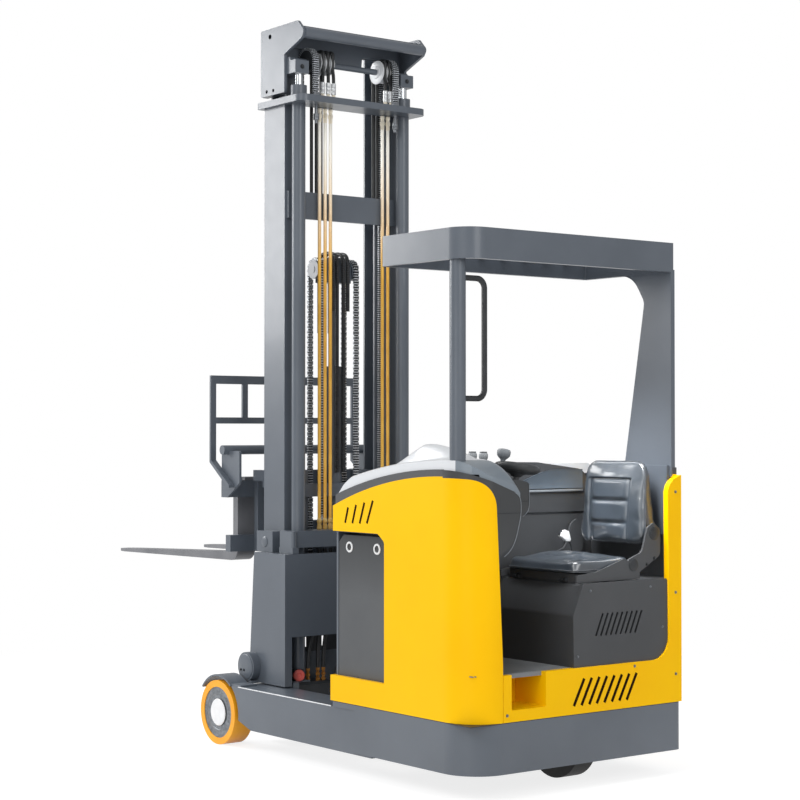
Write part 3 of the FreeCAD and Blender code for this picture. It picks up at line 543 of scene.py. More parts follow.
# %% Seat back
PANEL = (263, 1092)
FOOT = 952
back = block("seat_back_cover", (40, -468, FOOT), (454, -398, 1318))
bevelled(back, lambda middle, along: abs(along.y) > 0.9, 0.058, 6)
choose(back, "EDGE", lambda middle, along: middle.y > -0.399)
bpy.ops.mesh.bevel(offset=0.018, segments=4, affect="EDGES")
bpy.ops.mesh.select_all(action="SELECT")
bpy.ops.mesh.subdivide(number_cuts=3)
done_editing()
for vertex in back.data.vertices:
    x, y, z = measured(vertex.co)
    depth = (-398 - y) / 70
    x = 247 + (x - 247) * (1 - 0.15 * max(0.0, (z - 1005) / 307))
    y = -396 - 0.092 * (z - FOOT) - depth * (78 - 52 * max(0.0, (z - 1075) / 237))
    vertex.co = at(x, y, z)
puffed(back, 12)
for vertex in back.data.vertices:
    x, _, z = measured(vertex.co)
    if vertex.normal.y > 0.3:
        x = x - PANEL[0]
        panel = min(1.0, crown(x / 128, 10) * crown((z - PANEL[1]) / 146, 10) * 4)
        pads = sum(crown((z - middle) / 43, 5) for middle in (1187, 1093, 1000)) * crown(x / 112, 8)
        vertex.co.y += (-10.0 * panel + 9.5 * min(1.0, pads * 1.2)) / 1000
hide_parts("seat_backrest")
hang(back, "chassis", finishes["seat_vinyl"], 180)
print("back", len(back.data.vertices), [round(v, 3) for v in back.dimensions])

# %% [markdown]
# The mast is lifted by leaf chains: flat plates side by side on pins, where each pitch has the plates
# of the one before between its own. One pitch of plates is made, then set down again and again along
# the chain's line, turning with it over the sheave. The pins get a brighter finish than the plates.

# %% Leaf chain
STEP = 2.0


def leaf_plates(length, height, spots, thick):
    """The plates of one pitch, upright and side by side."""
    plates = []
    for spot in spots:
        plate = block("plate", (-height / 2 - REAR * 1000, spot - thick / 2, -length / 2),
            (height / 2 - REAR * 1000, spot + thick / 2, length / 2))
        bevelled(plate, lambda middle, along: abs(along.y) > 0.9, height * 0.00028, 1)
        plates.append(plate)
    return joined("plates", plates)


def line_over(middle, radius, rear_low, front_low):
    """Places and directions up behind a sheave, over it, and down in front, step by step."""
    x, z = middle
    rise = int((z - rear_low) / STEP)
    spots = [((x - radius, rear_low + i * STEP), (0.0, 1.0)) for i in range(rise)]
    turn = int(math.pi * radius / STEP)
    for i in range(turn):
        across, up = math.cos(math.pi * i / turn), math.sin(math.pi * i / turn)
        spots.append(((x - radius * across, z + radius * up), (up, across)))
    fall = int((z - front_low) / STEP)
    return spots + [((x + radius, z - i * STEP), (0.0, -1.0)) for i in range(fall)]


def leaf_chain(name, line, y, pitch, width):
    """Plates and pins set along a line in the upright plane at y; returns the two rows."""
    height = 10.5
    thick = width / 7
    wide = leaf_plates(pitch * 1.75, height, [-width / 2 + thick / 2, 0, width / 2 - thick / 2], thick)
    narrow = leaf_plates(pitch * 1.75, height, [-width * 0.22, width * 0.22], thick)
    reach = height / 2 + 0.8
    pin = block("pin", (-REAR * 1000 - reach, -width / 2 - 0.5, -2.2),
        (-REAR * 1000 + reach, width / 2 + 0.5, 2.2))
    plates, pins = bmesh.new(), bmesh.new()
    for count, place in enumerate(range(0, len(line), round(pitch / STEP))):
        (x, z), (dx, dz) = line[place]
        turn = Matrix(((dz, 0, dx, 0), (0, 1, 0, 0), (-dx, 0, dz, 0), (0, 0, 0, 1)))
        where = Matrix.Translation(at(x, y, z)) @ turn
        for shape, row, ahead in ((wide if count % 2 else narrow, plates, pitch / 2000), (pin, pins, 0)):
            link = shape.data.copy()
            link.transform(where @ Matrix.Translation((0, 0, ahead)))
            row.from_mesh(link)
            bpy.data.meshes.remove(link)
    made = []
    for row, kind in ((plates, "plates"), (pins, "pins")):
        mesh = bpy.data.meshes.new(name + "_" + kind)
        row.to_mesh(mesh)
        row.free()
        made.append(placed(name + "_" + kind, mesh))
    for shape in (wide, narrow, pin):
        bpy.data.objects.remove(shape)
    return made


# The middles of the two chain wheels, along and up.
SHEAVE = (1585, 3138)
CROSS_SHEAVE = (1710, 2195)
plate_steel = finish("chain_plate", "#3a3e43", "#25282b", (0.3, 0.45), 70, 240, 0.3, metallic=0.5)
pin_steel = finish("chain_pin", "#c6cacf", "#a4a9ae", (0.25, 0.4), 70, 240, 0.1, metallic=0.3)
chains = (("lift", "middle_mast", line_over(SHEAVE, 60, 2972, 1215), 231, 10, 29),
          ("crosshead", "crosshead", line_over(CROSS_SHEAVE, 50, 1042, 862), 98, 12, 27))
for name, body, line, y, pitch, width in chains:
    rows = [leaf_chain(name, line, side * y, pitch, width) for side in (1, -1)]
    plates, pins = [joined(name + "_chain_" + kind, [row[i] for row in rows])
                    for i, kind in enumerate(("plates", "pins"))]
    hang(plates, body, plate_steel)
    hang(pins, body, pin_steel)
    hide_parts(name + "_chains")
    print(name, "chain faces", len(plates.data.polygons) + len(pins.data.polygons))

# %% [markdown]
# The sheaves are pale nylon wheels with a groove for the hose or chain, a rim on each side and a raised
# hub, so they are turned pieces.

# %% Sheaves on the head's axle
def sheave(y, radius, half):
    """A grooved wheel; its outline is the same on both sides, so it is given out to the middle only."""
    edge = [(16, 1), (22, 1), (24, -2), (radius - 11, -2), (radius - 7, 0), (radius, 0), (radius, -3),
        (radius - 8, -6)]
    steps = [(r, -half - out) for r, out in edge] + [(r, half + out) for r, out in reversed(edge)]
    return turned("sheave", (SHEAVE[0], y, SHEAVE[1]), (0, 1, 0), steps, 36)


wheels = [sheave(y, 50, 10) for y in (180, 153, 126, -178, -202)]
wheels.append(turned("sheave_cap", (SHEAVE[0], -167, SHEAVE[1]), (0, 1, 0),
    [(56, 0), (56, 3), (53, 5), (30, 5), (26, 9), (16, 10), (15, 10)], 40))
sheaves = joined("head_sheave_wheels", wheels)
hang(sheaves, "middle_mast", finishes["sheave_pale"])
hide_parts("head_sheaves")
chain_wheels = joined("chain_sheave_wheels", [sheave(y, 54, 16) for y in (231, -231)])
hang(chain_wheels, "middle_mast", dark_steel)
print("sheaves", len(sheaves.data.polygons))

# %% [markdown]
# Black hydraulic hoses run over the inner wheels, side by side. Each ends in a crimped sleeve and a
# swivel nut above the tie plate, and carries on below it as a plated steel pipe. They are kept taut by
# the mast, so they are rigging on it and not free cords.

# %% Hoses, sleeves and nuts at the mast head
lines = ((180, 168), (153, 136), (126, 106), (-178, -197), (-202, -229))
hoses, sleeves, nuts, unions = [], [], [], []
for over, pipe in lines:
    hoses.append(tube("hose", [(1560, pipe, 3040), (1558, pipe, 3075), (1540, over, 3110),
        (1539, over, 3150), (1537, over, 3190), (1585, over, 3192), (1633, over, 3190), (1633, over, 3150),
        (1632, over, 2600), (1632, over, 2530)], 8))
    sleeves.append(turned("sleeve", (1560, pipe, 2996), UP, [(9, 0), (11.5, 2), (11.5, 16), (10.3, 18),
        (11.5, 20), (11.5, 32), (10.3, 34), (11.5, 36), (11.5, 52), (9, 55)], 16))
    nuts.append(turned("nut", (1560, pipe, 2966), UP, [(13, 0), (14, 1), (14, 17), (11, 20), (9, 30)], 6))
    unions.append(turned("union", (1584, pipe, 2866), UP, [(8.2, 0), (10, 2), (10, 22), (12, 24), (12, 40),
        (9.5, 42), (9.5, 52), (11, 54), (11, 66), (8.2, 68)], 6))
    unions.append(turned("union", (1584, pipe, 981), UP, [(12.5, 0), (12.5, 18), (10, 20), (10, 28),
        (12.5, 30), (12.5, 40), (8.2, 52)], 6))
hang(joined("head_hoses", hoses), "middle_mast", hose_rubber)
hang(joined("head_hose_sleeves", sleeves), "middle_mast", zinc)
hang(joined("head_hose_nuts", nuts), "middle_mast", brass)
hang(joined("pipe_unions", unions), "reach_carriage", brass)
print("hoses", len(hoses))

# %% [markdown]
# Each lift chain is anchored by a threaded rod that goes through the tie plate, with a pair of nuts
# below. The bracket bolts, the panel screws and the small bolts of the carriage all have one shape, a
# hexagon on a washer, so one helper makes them.

# %% Bolts and chain anchors
def bolt(centre, axis, size):
    """A hexagon head on a washer."""
    head = turned("bolt", centre, axis, [(size * 0.58, 0), (size * 0.58, size * 0.1),
        (size * 0.5, size * 0.1), (size * 0.5, size * 0.5), (size * 0.4, size * 0.58)], 6)
    washer = turned("washer", centre, axis, [(size * 0.72, -1), (size * 0.72, size * 0.1)], 20)
    return joined("bolt", [head, washer])


anchors = []
for y in (228, -228):
    anchors.append(turned("anchor", (1525, y, 2850), UP, [(7, 0), (7, 14), (13, 15), (13, 27), (12, 29),
        (13, 31), (13, 43), (7, 44), (7, 86)], 12))
    anchors.append(rounded(block("anchor", (1514, y - 17, 2965), (1536, y + 17, 2992)), 3))
hang(joined("chain_anchors", anchors), "reach_carriage", bolt_steel)
head_bolts, hole_shade_discs = [bolt((1530, y, 3103), (-1, 0, 0), 15) for y in (303, -303)], []
# The holes in the head plate are flat black discs on its face: painted shade for their depth.
for side in (1, -1):
    for x, z, size in ((1718, 3263, 11), (1745, 3011, 8), (1691, 3010, 8)):
        hole_shade_discs.append(turned("hole", (x, side * 355, z), (0, side, 0),
            [(size, -1), (size, 0.8), (size - 1, 1), (1, 1)], 20))
hang(joined("head_bolts", head_bolts), "middle_mast", dark_steel)
hang(joined("head_plate_hole_shade", hole_shade_discs), "middle_mast", hole_shadow)
print("anchors and head bolts", len(anchors) + len(head_bolts))

# %% [markdown]
# Four ribbed rubber hoses run over the crosshead between its chain wheels and down behind the lift
# cylinder. Their ribs are too fine to model, so they are a band pattern in the relief, along z.

# %% Ribbed hoses on the crosshead
ribbed = finish("ribbed_rubber", "#303235", "#222427", (0.42, 0.56), 30, 1200, 0.3)
tree = ribbed.node_tree
place = put(tree, "TexCoord").outputs["Object"]
bands = put(tree, "TexWave", {"Scale": 38.0, "Vector": place}, bands_direction="Z")
ribs = put(tree, "Bump", {"Strength": 0.9, "Distance": 0.003, "Height": bands.outputs["Fac"]})
tree.links.new(ribs.outputs["Normal"], tree.nodes["Principled BSDF"].inputs["Normal"])
over_cross = []
for y in (42, 18, -18, -44):
    low = 1240 if abs(y) < 20 else 2000
    over_cross.append(tube("hose", [(1653, y, low), (1653, y, 2150), (1652, y, 2235), (1668, y, 2268),
        (1710, y, 2276), (1752, y, 2268), (1768, y, 2235), (1766, y, 2150), (1766, y, 1900)], 9))
hang(joined("crosshead_hoses", over_cross), "crosshead", ribbed)
print("crosshead hoses", len(over_cross))

# %% [markdown]
# Low in the mast, in the opening under the carriage's rear plate, sit the valve block and its hoses. A
# red cap closes one port, brass fittings the others, and black hoses rise behind the plate.

# %% Valve block, red cap and lower hoses
valve = rounded(block("valve_block", (1512, 150, 201), (1572, 348, 292)), 4)
recessed(valve, lambda middle, normal: normal.x < -0.9, 0.012, -0.003)
hang(valve, "reach_carriage", dark_steel)
red_cap = turned("red_cap", (1532, 318, 322), (-0.85, 0.5, 0.15), [(22, -20), (22, 0), (27, 2), (27, 20),
    (24, 26), (12, 28), (10, 24), (3, 24)], 24)
port = rounded(block("port", (1526, 292, 290), (1570, 344, 352)), 4)
hang(port, "reach_carriage", dark_steel)
hang(red_cap, "reach_carriage", red_plastic)
fittings = []
for y in (207, 262, 176):
    fittings.append(turned("fitting", (1540, y, 290), UP, [(11, 0), (11, 14), (7, 16), (7, 24), (11, 26),
        (11, 36), (7, 38), (7, 46), (10, 48), (10, 60)], 6))
hang(joined("brass_fittings", fittings), "reach_carriage", darker_brass)
lower = []
for (y0, z0), (y1, z1) in (((207, 350), (168, 890)), ((262, 350), (136, 890)), ((176, 350), (106, 890)),
        ((120, 210), (-40, 700)), ((60, 210), (-110, 700)), ((-60, 210), (-197, 890)),
        ((-150, 210), (-229, 890))):
    lower.append(tube("hose", [(1540, y0, z0), (1540, y0, z0 + 70), (1545, (y0 * 2 + y1) / 3, z0 + 200),
        (1560, (y0 + y1 * 2) / 3, z1 - 200), (1572, y1, z1 - 90), (1584, y1, z1)], 9))
hang(joined("lower_hoses", lower), "reach_carriage", hose_rubber)
# Painted shade: dark plates behind the opening close the view through it, where the inside is in shade.
opening_shade_plates = [block("opening_shade_plate", (1594, a, 420), (1600, b, 506))
           for a, b in ((-330, 134), (147, 231), (246, 334))]
hang(joined("lower_opening_shade", opening_shade_plates), "reach_carriage", dark_steel)
print("lower hoses", len(lower))

# %% [markdown]
# The carriage slides in the legs on a boss and pins. Their heads and bolts show on its side.

# %% Pins and bolts of the carriage
pins = []
for side in (1, -1):
    pins.append(turned("pin", (1713, side * 384.5, 925), (0, side, 0),
        [(25, 0), (25, 2), (22, 4), (5, 4)], 28))
    pins.append(turned("pin", (1740, side * 469.5, 354), (0, side, 0),
        [(58, 0), (58, 3), (54, 5), (20, 5)], 40))
    near, far = sorted((side * 398, side * 468))
    pins.append(rounded(block("slide_pad", (1694, near, 280.5), (1772, far, 292)), 2))
hang(joined("carriage_pins", pins), "reach_carriage", finishes["frame_grey"])
small = [bolt((x, side * 474, 338), (0, side, 0), 9) for side in (1, -1) for x in (1748, 1774)]
hang(joined("carriage_bolts", small), "reach_carriage", dark_steel)
print("pins and bolts", len(pins) + len(small))

# %% [markdown]
# A small wheel steers the truck with one hand. Its rim is a thick soft ring on a cone, like a mushroom,
# leaning towards the driver, with a knob to hold.

# %% Steering wheel and knob
lean = math.radians(9.5)
stem = (0, -math.sin(lean), math.cos(lean))
rim = turned("steering_wheel_rim", (215, 150, 1283), stem, [(12, -34), (21, -33), (25, -27), (36, -21),
    (56, -17), (72, -16), (84, -12), (91, -4), (93, 5), (89, 14), (80, 18), (70, 16), (62, 10), (40, 7),
    (32, 9), (30, 12), (8, 13)], 48)
knob = turned("steering_knob", (253, 196, 1300), stem, [(10, 0), (10, 16), (12, 20), (19, 26), (26, 34),
    (28, 44), (28, 54), (24, 60), (12, 63), (3, 63)], 28)
wheel_moulding = finish("wheel_moulding", "#3a3c3e", "#303234", (0.42, 0.52), 20, 1400, 0.25)
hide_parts("steering_wheel")
hang(rim, "steering_wheel", wheel_moulding, 50)
knob_moulding = finish("knob_moulding", "#8b9095", "#7c8186", (0.34, 0.44), 20, 1400, 0.15)
hang(joined("steering_wheel_knob", [knob]), "steering_wheel", knob_moulding, 50)
print("wheel", [round(v, 3) for v in rim.dimensions])

# %% [markdown]
# The levers beside the wheel have soft round knobs and rubber boots. The boots are bellows, so their
# outline goes in and out as it is drawn up.

# %% Lever knobs and boots
knobs, boots = [], []
for x in (350, 420, 490):
    knobs.append(turned("knob", (x, 215, 1298), UP, [(6, 0), (9, 4), (10, 12), (16, 20), (19, 30), (19, 40),
        (15, 48), (8, 52), (3, 53)], 24))
    boots.append(turned("boot", (x, 215, 1243), UP, [(24, 0), (24, 4), (16, 8), (20, 12), (13, 17),
        (16, 21), (10, 26), (12, 30), (7, 35)], 20))
knob_grey = finish("knob_grey", "#b4b8bb", "#a3a7ab", (0.32, 0.42), 30, 900, 0.08)
hang(joined("lever_knobs", knobs), "chassis", knob_grey, 60)
hang(joined("lever_boots", boots), "chassis", hose_rubber, 60)
print("lever knobs", len(knobs))

# %% [markdown]
# The seat is finished with a welt, a thin covered cord sewn where two panels meet. It follows the swollen
# cover, so its line is found by looking outwards from the middle of the cushion until the cover is met.

# %% Welts on the seat
def welt(piece, middle, across, up, count):
    """A closed cord that lies on a piece's skin, in the plane that two directions span."""
    radius = 2.6
    spots = []
    for i in range(count):
        angle = 2 * math.pi * i / count
        way = (Vector(across) * math.cos(angle) + Vector(up) * math.sin(angle)).normalized()
        hit, place = piece.ray_cast(at(*middle) + way * 0.6, -way)[:2]
        if hit:
            spots.append(place + way * radius / 3000)
    return cord("welt", "POLY", spots, radius, 2)


welt_vinyl = finish("welt_vinyl", "#4a4e54", "#3a3d42", (0.3, 0.4), 30, 1000, 0.1, coat=0.3)
welts = [welt(cushion, (262, -178, 868), (1, 0, 0), (0, 1, 0), 140),
    welt(back, (247, -428, 1130), (1, 0, 0), (0, -0.092, 1), 160)]
hang(joined("seat_welts", welts), "chassis", welt_vinyl, 60)
print("welts", len(welts))

# %% [markdown]
# A white buckle stands on a stalk beside the back. The recline arm has screws and a round hinge boss.

# %% Buckle, screws and slide rails
def sheet(name, plane, low, high, outline):
    """A flat plate cut to an outline; plane is xz or yz and low and high are its two faces."""
    bpy.ops.mesh.primitive_circle_add(vertices=len(outline), radius=1, fill_type="NGON", location=(0, 0, 0))
    piece = bpy.context.object
    piece.name = name
    for corner, (a, b) in zip(piece.data.vertices, outline):
        corner.co = at(a, low, b) if plane == "xz" else at(low, a, b)
    thick = (high - low) / 1000
    move = (0, thick, 0) if plane == "xz" else (thick, 0, 0)
    bpy.ops.object.mode_set(mode="EDIT")
    bpy.ops.mesh.select_all(action="SELECT")
    bpy.ops.mesh.extrude_region_move(TRANSFORM_OT_translate={"value": move})
    done_editing()
    return piece


buckle = rounded(sheet("seat_buckle", "yz", 430, 448, [(-283, 985), (-290, 1000), (-312, 1010),
    (-334, 1004), (-346, 968), (-340, 958), (-318, 962)]), 3, 3)
hang(buckle, "chassis", white_plastic)
stalk = tube("buckle_stalk", [(439, -336, 968), (439, -350, 950), (439, -356, 930), (439, -358, 905)], 4.5)
button = rounded(sheet("buckle_button", "yz", 433, 445, [(-282, 987), (-288, 1003), (-300, 1008),
    (-296, 988)]), 2)
hang(joined("seat_buckle_stalk", [stalk, button]), "chassis", dark_steel)
arm_parts = [bolt((24, y, z), (-1, 0, 0), 11)
             for y, z in ((-434, 1033), (-417, 1012), (-396, 882), (-440, 905))]
arm_parts += [turned("hinge", (24, -318, 882), (-1, 0, 0), [(26, 0), (26, 2), (22, 4), (6, 4)], 28)]
arm_parts += [turned("hinge", (24, -438, 1010), (-1, 0, 0), [(30, 0), (30, 1.5), (27, 3), (6, 3)], 28)]
hang(joined("recline_screws", arm_parts), "chassis", dark_steel)
rails = []
for x in (110, 400):
    rails.append(rounded(block("rail", (x, -410, 819), (x + 34, -18, 838)), 3))
    rails.append(rounded(block("rail", (x + 6, -14, 826), (x + 28, -6, 834)), 2))
hang(joined("seat_rails", rails), "chassis", dark_steel)
print("seat fittings", len(arm_parts) + len(rails))

# %% [markdown]
# The cab's inner walls are vacuum-formed panels. The far wall has an arched tray with a pale lip, and the
# console's end cap has a seam across it. The thin pale beads along the end cap's free edge and along a
# second edge nearby are painted highlights, where those edges catch the light.

# %% Wall panels, lip, painted edge highlights and seams
bow = [(-140 - 352 * i / 12, 1218 + 50 * math.sin(math.pi * min(1, i / 7) / 2)) for i in range(13)]
arch = [(-140, 1186), *bow, (-492, 1186)]
tray = sheet("wall_tray", "yz", 515, 521, arch)
recessed(tray, lambda middle, normal: normal.x < -0.9, 0.009, -0.003)
tray_slate = finish("tray_moulding", "#5c6772", "#525c66", (0.34, 0.44), 6, 1300, 0.15)
hang(tray, "chassis", tray_slate)
lip_and_highlight_beads = [rounded(block("lip", (512, -492, 1171), (521, -120, 1181)), 2)]
# Painted highlights: pale beads on the end cap's free edge and on a second edge nearby.
lip_and_highlight_beads.append(tube("edge_highlight_bead", [(5, 345, 1195), (5, 330, 1188), (5, 313, 1168), (5, 312, 1110), (5, 326, 1056),
    (5, 344, 1000), (5, 372, 962), (5, 400, 946)], 1.2))
lip_and_highlight_beads.append(tube("edge_highlight_bead", [(178, 118, 1222), (178, 117, 1190), (178, 117, 1132), (178, 126, 1104),
    (178, 150, 1090)], 1.4))
lip_and_edge_highlight = finish("lip_and_edge_highlight", "#858b91", "#777d84", (0.3, 0.4), 20, 900, 0.05)
hang(joined("cab_lip_and_highlight_beads", lip_and_highlight_beads), "chassis", lip_and_edge_highlight)
seams = [block("seam", (5.2, 316, 1113), (8, 436, 1116)),
         block("seam", (516, -540, 1082), (520.6, 90, 1085)),
         block("seam", (177.2, 120, 1150), (179.5, 300, 1152.5))]
hang(joined("cab_seams", seams), "chassis", dark_steel)
print("wall panels", len(lip_and_highlight_beads) + len(seams))

# %% [markdown]
# The pale hood is one sheet drawn over a former. It lies over the battery, runs back along the left
# console, rounds off at the rear corner, and swells into a low hump before the driver's screen. Its
# height is a lid line, less a fall towards the cab and round the rear corner, with the hump on top.

# %% Heights of the hood's former
def through(a, b, c):
    """The smooth line of heights through three places (x, z)."""
    def height(x):
        total = 0.0
        for (x0, z0), (x1, _), (x2, _) in ((a, b, c), (b, a, c), (c, a, b)):
            total += z0 * (x - x1) * (x - x2) / ((x0 - x1) * (x0 - x2))
        return total
    return height


# The cab's front wall and its near side, and the crest from which the hood falls to that side; the
# length of the rear fall; where the lid bends down in front, twice; half of its flat width; the hump.
CAB_FRONT, CAB_SIDE, CREST = 546, 314, 392
REAR_FALL = 190
BEND, NOSE = 788, 835
FLAT_HALF = 559
HUMP_MIDDLE, HUMP_HALF = 388, 94
HUMP = ((190, 0), (275, 30), (350, 52), (430, 72), (485, 80), (540, 62), (610, 34), (700, 0))
lid_line = through((-10, 1322), (430, 1309), (BEND, 1247))
band_line = through((-10, 1279), (452, 1266), (886, 1168))


def between(table, x):
    """A value read off a short table along straight lines; nothing beyond its ends."""
    if x <= table[0][0] or x >= table[-1][0]:
        return 0.0
    for (x0, v0), (x1, v1) in zip(table, table[1:]):
        if x <= x1:
            return v0 + (v1 - v0) * (x - x0) / (x1 - x0)


def fall(x, y):
    """How far the hood drops towards the cab and round the rear corner."""
    if x >= CAB_FRONT or y <= 300:
        return 0.0
    inner = 96 * max(0.0, (CREST - y) / (CREST - CAB_SIDE)) ** 2.2
    rear = max(0.0, 112 - 0.32 * (y - 350)) * max(0.0, 1 - x / REAR_FALL) ** 2.6
    return (inner ** 3 + rear ** 3) ** (1 / 3)


def hood_height(x, y):
    """The lid's line, bent down twice at the front, less the falls, with the hump on top."""
    z = lid_line(min(x, BEND))
    if x > BEND:
        z = 1247 - 28 * (x - BEND) / (NOSE - BEND) if x < NOSE else 1219 - (x - NOSE)
    edge = max(0.0, abs(y) - FLAT_HALF)
    hump = between(HUMP, x) * max(0.0, 1 - abs((y - HUMP_MIDDLE) / HUMP_HALF) ** 2.6)
    return z - 0.06 * edge * edge - fall(x, y) + hump


print("hump", round(hood_height(485, HUMP_MIDDLE)), "mm up")

# %% [markdown]
# A fine grid is laid over the plan, and its cab side is deleted. It has no round corner, so points past
# the rear corner's centre are drawn in from a square to a circle. Then the free edges are drawn down as
# skirts, each as far as the piece it meets, and the sheet gets its thickness.

# %% Lay the sheet and form it
CORNER = (160, 415)
CORNER_SIZE = (154, 156)
bpy.ops.mesh.primitive_grid_add(x_subdivisions=88, y_subdivisions=114, size=1, location=at(446, 0, 1300))
hood = bpy.context.object
hood.name = "hood_sheet"
hood.scale = (0.880, 1.142, 1)
bpy.ops.object.transform_apply()
cut = at(CAB_FRONT + 1, CAB_SIDE, 0)
choose(hood, "FACE", lambda middle, normal: middle.x < cut.x and middle.y < cut.y)
bpy.ops.mesh.delete(type="FACE")
bpy.ops.object.mode_set(mode="OBJECT")
for vertex in hood.data.vertices:
    x, y = measured(vertex.co)[:2]
    if x < CORNER[0] and y > CORNER[1]:
        dx, dy = CORNER[0] - x, y - CORNER[1]
        shares = dx / CORNER_SIZE[0], dy / CORNER_SIZE[1]
        square, length = max(shares), math.hypot(*shares)
        x, y = CORNER[0] - dx * square / length, CORNER[1] + dy * square / length
    vertex.co = at(x, y, hood_height(x, y))
applied(hood, "SMOOTH", factor=0.5, iterations=3)
bpy.ops.object.mode_set(mode="EDIT")
bpy.ops.mesh.select_mode(type="EDGE")
bpy.ops.mesh.select_all(action="DESELECT")
bpy.ops.mesh.select_non_manifold()
bpy.ops.mesh.extrude_edges_move(TRANSFORM_OT_translate={"value": (0, 0, -0.02)})
skirt = bmesh.from_edit_mesh(hood.data)
for vertex in skirt.verts:
    if vertex.select:
        x, y = measured(vertex.co)[:2]
        if x < CAB_FRONT + 1 and y < 335:
            # Down to the screen in the cab.
            foot = 1188 if x < 60 else 1160 if x < 530 else 1236
        elif x < 12 or (x < 60 and y < 500):
            # Along the slanting top of the rear panel.
            foot = 1196 + 0.37 * (y - 341) - 16
        elif x > 880 and abs(y) < 560:
            # Over the battery's front edge.
            foot = 1147
        else:
            # Just under the band's top, deeper at the rear corner.
            foot = band_line(x) - (16 if x < 260 and y > 0 else 2)
        vertex.co.z = min(vertex.co.z, foot / 1000)
bmesh.update_edit_mesh(hood.data)
done_editing()
applied(hood, "SOLIDIFY", thickness=0.004, offset=-1)
# The faces that fall towards the cab and round the rear corner are split off and given a darker slate
# colour: painted shade on the same pale sheet, where it turns away from the light.
choose(hood, "FACE", lambda middle, normal: fall(*measured(middle)[:2]) > 5)
bpy.ops.mesh.separate(type="SELECTED")
bpy.ops.object.mode_set(mode="OBJECT")
slope = [piece for piece in bpy.context.selected_objects if piece != hood][0]
hood_slope_shade = finish("hood_slope_painted_shade", "#7f8992", "#747e87", (0.26, 0.34), 1.2, 900, 0.01, coat=0.2)
hang(joined("hood_slope", [slope]), "chassis", hood_slope_shade, 50)
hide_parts("hood")
hang(hood, "chassis", finishes["hood_white"], 50)
seam = tube("hump_seam", [(214, 478, 1314), (300, 482, 1315), (399, 483, 1314), (520, 482, 1306),
    (664, 478, 1286)], 1.6)
hang(joined("hood_seam", [seam]), "chassis", finishes["hub_grey"])
print("hood", len(hood.data.polygons), [round(v, 3) for v in hood.dimensions])

# %% [markdown]
# The load wheels have a bright hub cap and ring. Caps turn with their wheels, so they hang on them.

# %% Wheel caps
WHEEL_X, WHEEL_Z = 1814, 146
for side, wheel_body in ((1, "load_wheel_left"), (-1, "load_wheel_right")):
    cover = turned("wheel_cap", (WHEEL_X, side * 571, WHEEL_Z), (0, side, 0),
        [(62, -10), (62, 1), (59, 3.5), (30, 4.5), (27, 3.5), (12, 3.5), (3, 3.4)], 48)
    hang(joined("wheel_cap_" + wheel_body, [cover]), wheel_body, white_plastic)
    ring = turned("wheel_ring", (WHEEL_X, side * 565, WHEEL_Z), (0, side, 0),
        [(118, -6), (118, 4), (116, 6), (111, 6), (108, 4), (92, 3.2), (88, 5.5), (82, 5.5), (79, 3),
        (60, 2.6)], 48)
    hang(joined("wheel_ring_" + wheel_body, [ring]), wheel_body, bolt_steel)
    print("cap and ring on", wheel_body, len(cover.data.polygons) + len(ring.data.polygons))

# %% [markdown]
# The battery is lifted by two holes in each end, lined with pale grommets. The hole behind each grommet is
# in shade, so a dark disc closes it as painted shade.

# %% Grommets of the battery
grommets, grommet_shade_discs = [], []
for side in (1, -1):
    for x in (630, 822):
        place = (x, side * 547, 950)
        grommets.append(turned("grommet", place, (0, side, 0), [(23, 0), (23, 3), (21, 5), (16, 5),
            (14.5, 3), (14.5, 0.5)], 32))
        grommet_shade_discs.append(turned("hole_shade_disc", place, (0, side, 0), [(14, 0.6), (14, 3.2), (11, 2.2), (4, 2.0)], 24))
hang(joined("battery_grommets", grommets), "chassis", white_plastic)
hang(joined("battery_hole_painted_shade", grommet_shade_discs), "chassis", hose_rubber)
print("grommets", len(grommets))

# %% [markdown]
# The covers breathe through slanted louvres, which are in shade inside. A thin dark plate fills each slot
# as painted shade. The long upper edge of each leg catches the light, and a thin pale bead along it is a
# painted highlight.

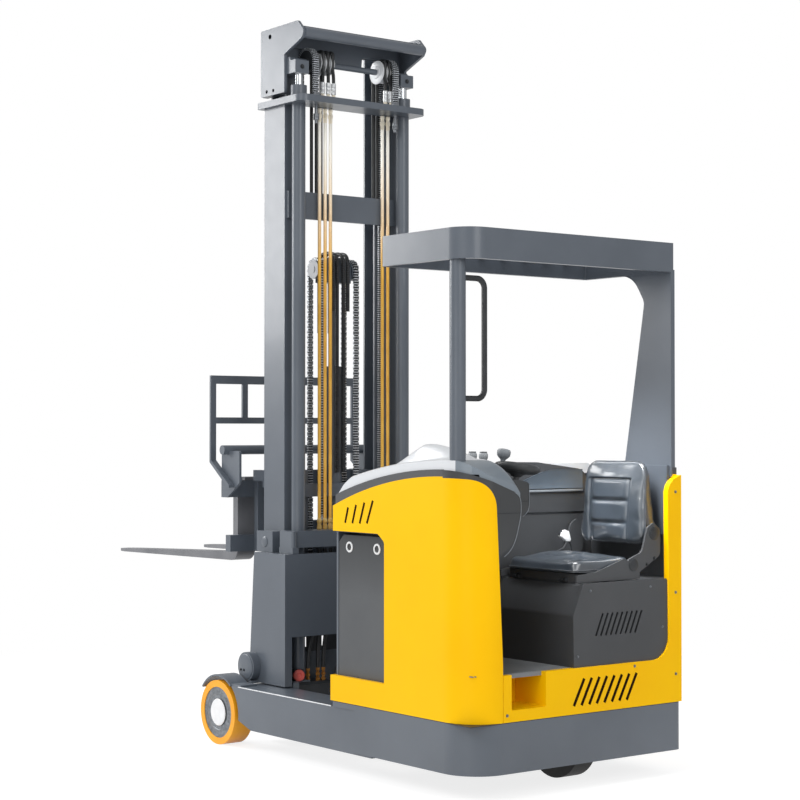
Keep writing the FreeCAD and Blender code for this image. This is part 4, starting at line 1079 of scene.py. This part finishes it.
# %% Painted shade in the louvres, painted highlights on the legs
def slant(foot, head, width):
    """The four corners of a slanted slot, from its foot and its head."""
    across, up = head[0] - foot[0], head[1] - foot[1]
    length = math.hypot(across, up)
    a, b = across / length * width / 2, up / length * width / 2
    return [(foot[0] - b, foot[1] + a), (foot[0] + b, foot[1] - a), (head[0] + b, head[1] - a),
        (head[0] - b, head[1] + a)]


# Painted shade: a dark plate in each louvre slot.
louvre_shade_plates = []
for foot, head in (((817, 1052), (796, 1117)), ((766, 1052), (740, 1129)), ((715, 1053), (682, 1140)),
        ((665, 1055), (624, 1150))):
    for low, high in ((556, 575.4), (-575.4, -556)):
        louvre_shade_plates.append(sheet("louvre_shade_plate", "xz", low, high, slant(foot, head, 12)))
for i in range(8):
    y = 39 - i * 293 / 7
    louvre_shade_plates.append(sheet("louvre_shade_plate", "yz", -0.3, 22, slant((y, 336), (y - 57, 442), 14)))
hang(joined("louvre_painted_shade", louvre_shade_plates), "chassis", slot_shadow)
# Painted highlight: a pale bead along each leg's upper edge.
edges = [tube("edge", [(x, side * 569.5, 277.6) for x in (925, 1200, 1648)], 2.6) for side in (1, -1)]
hang(joined("leg_edge_highlights", edges), "chassis", finishes["sheave_pale"])
print("louvre_shade_plates", len(louvre_shade_plates))

# %% [markdown]
# Covers show where they meet, by thin dark gaps, and how they are held, by small screws.

# %% Panel gaps and screws
gaps = [block("gap", (0.2, -553, 299.5), (905, 574.6, 302.5)),
        block("gap", (546, 552.5, 1013.4), (905, 574.6, 1016.4))]
hang(joined("panel_gaps", gaps), "chassis", dark_steel)
screws = [bolt((0, y, z), (-1, 0, 0), 9)
          for y, z in ((-540, 1180), (-540, 760), (-540, 420), (390, 330), (-300, 470))]
screws += [bolt((8, y, z), (-1, 0, 0), 8) for y, z in ((10, 530), (-400, 790), (-60, 790), (-470, 620))]
hang(joined("panel_screws", screws), "chassis", bolt_steel)
print("gaps and screws", len(gaps) + len(screws))

# %% [markdown]
# The mat is ribbed rubber, so that a wet boot does not slip. Its ribs are low strips side by side.

# %% Ribs of the floor mat
ribs = [rounded(block("rib", (34, y, 485), (512, y + 6, 489)), 1.2) for y in range(40, 531, 14)]
hang(joined("mat_ribs", ribs), "chassis", finishes["floor_mat"])
print("mat ribs", len(ribs))

# %% The dressed truck's bounds
low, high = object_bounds()
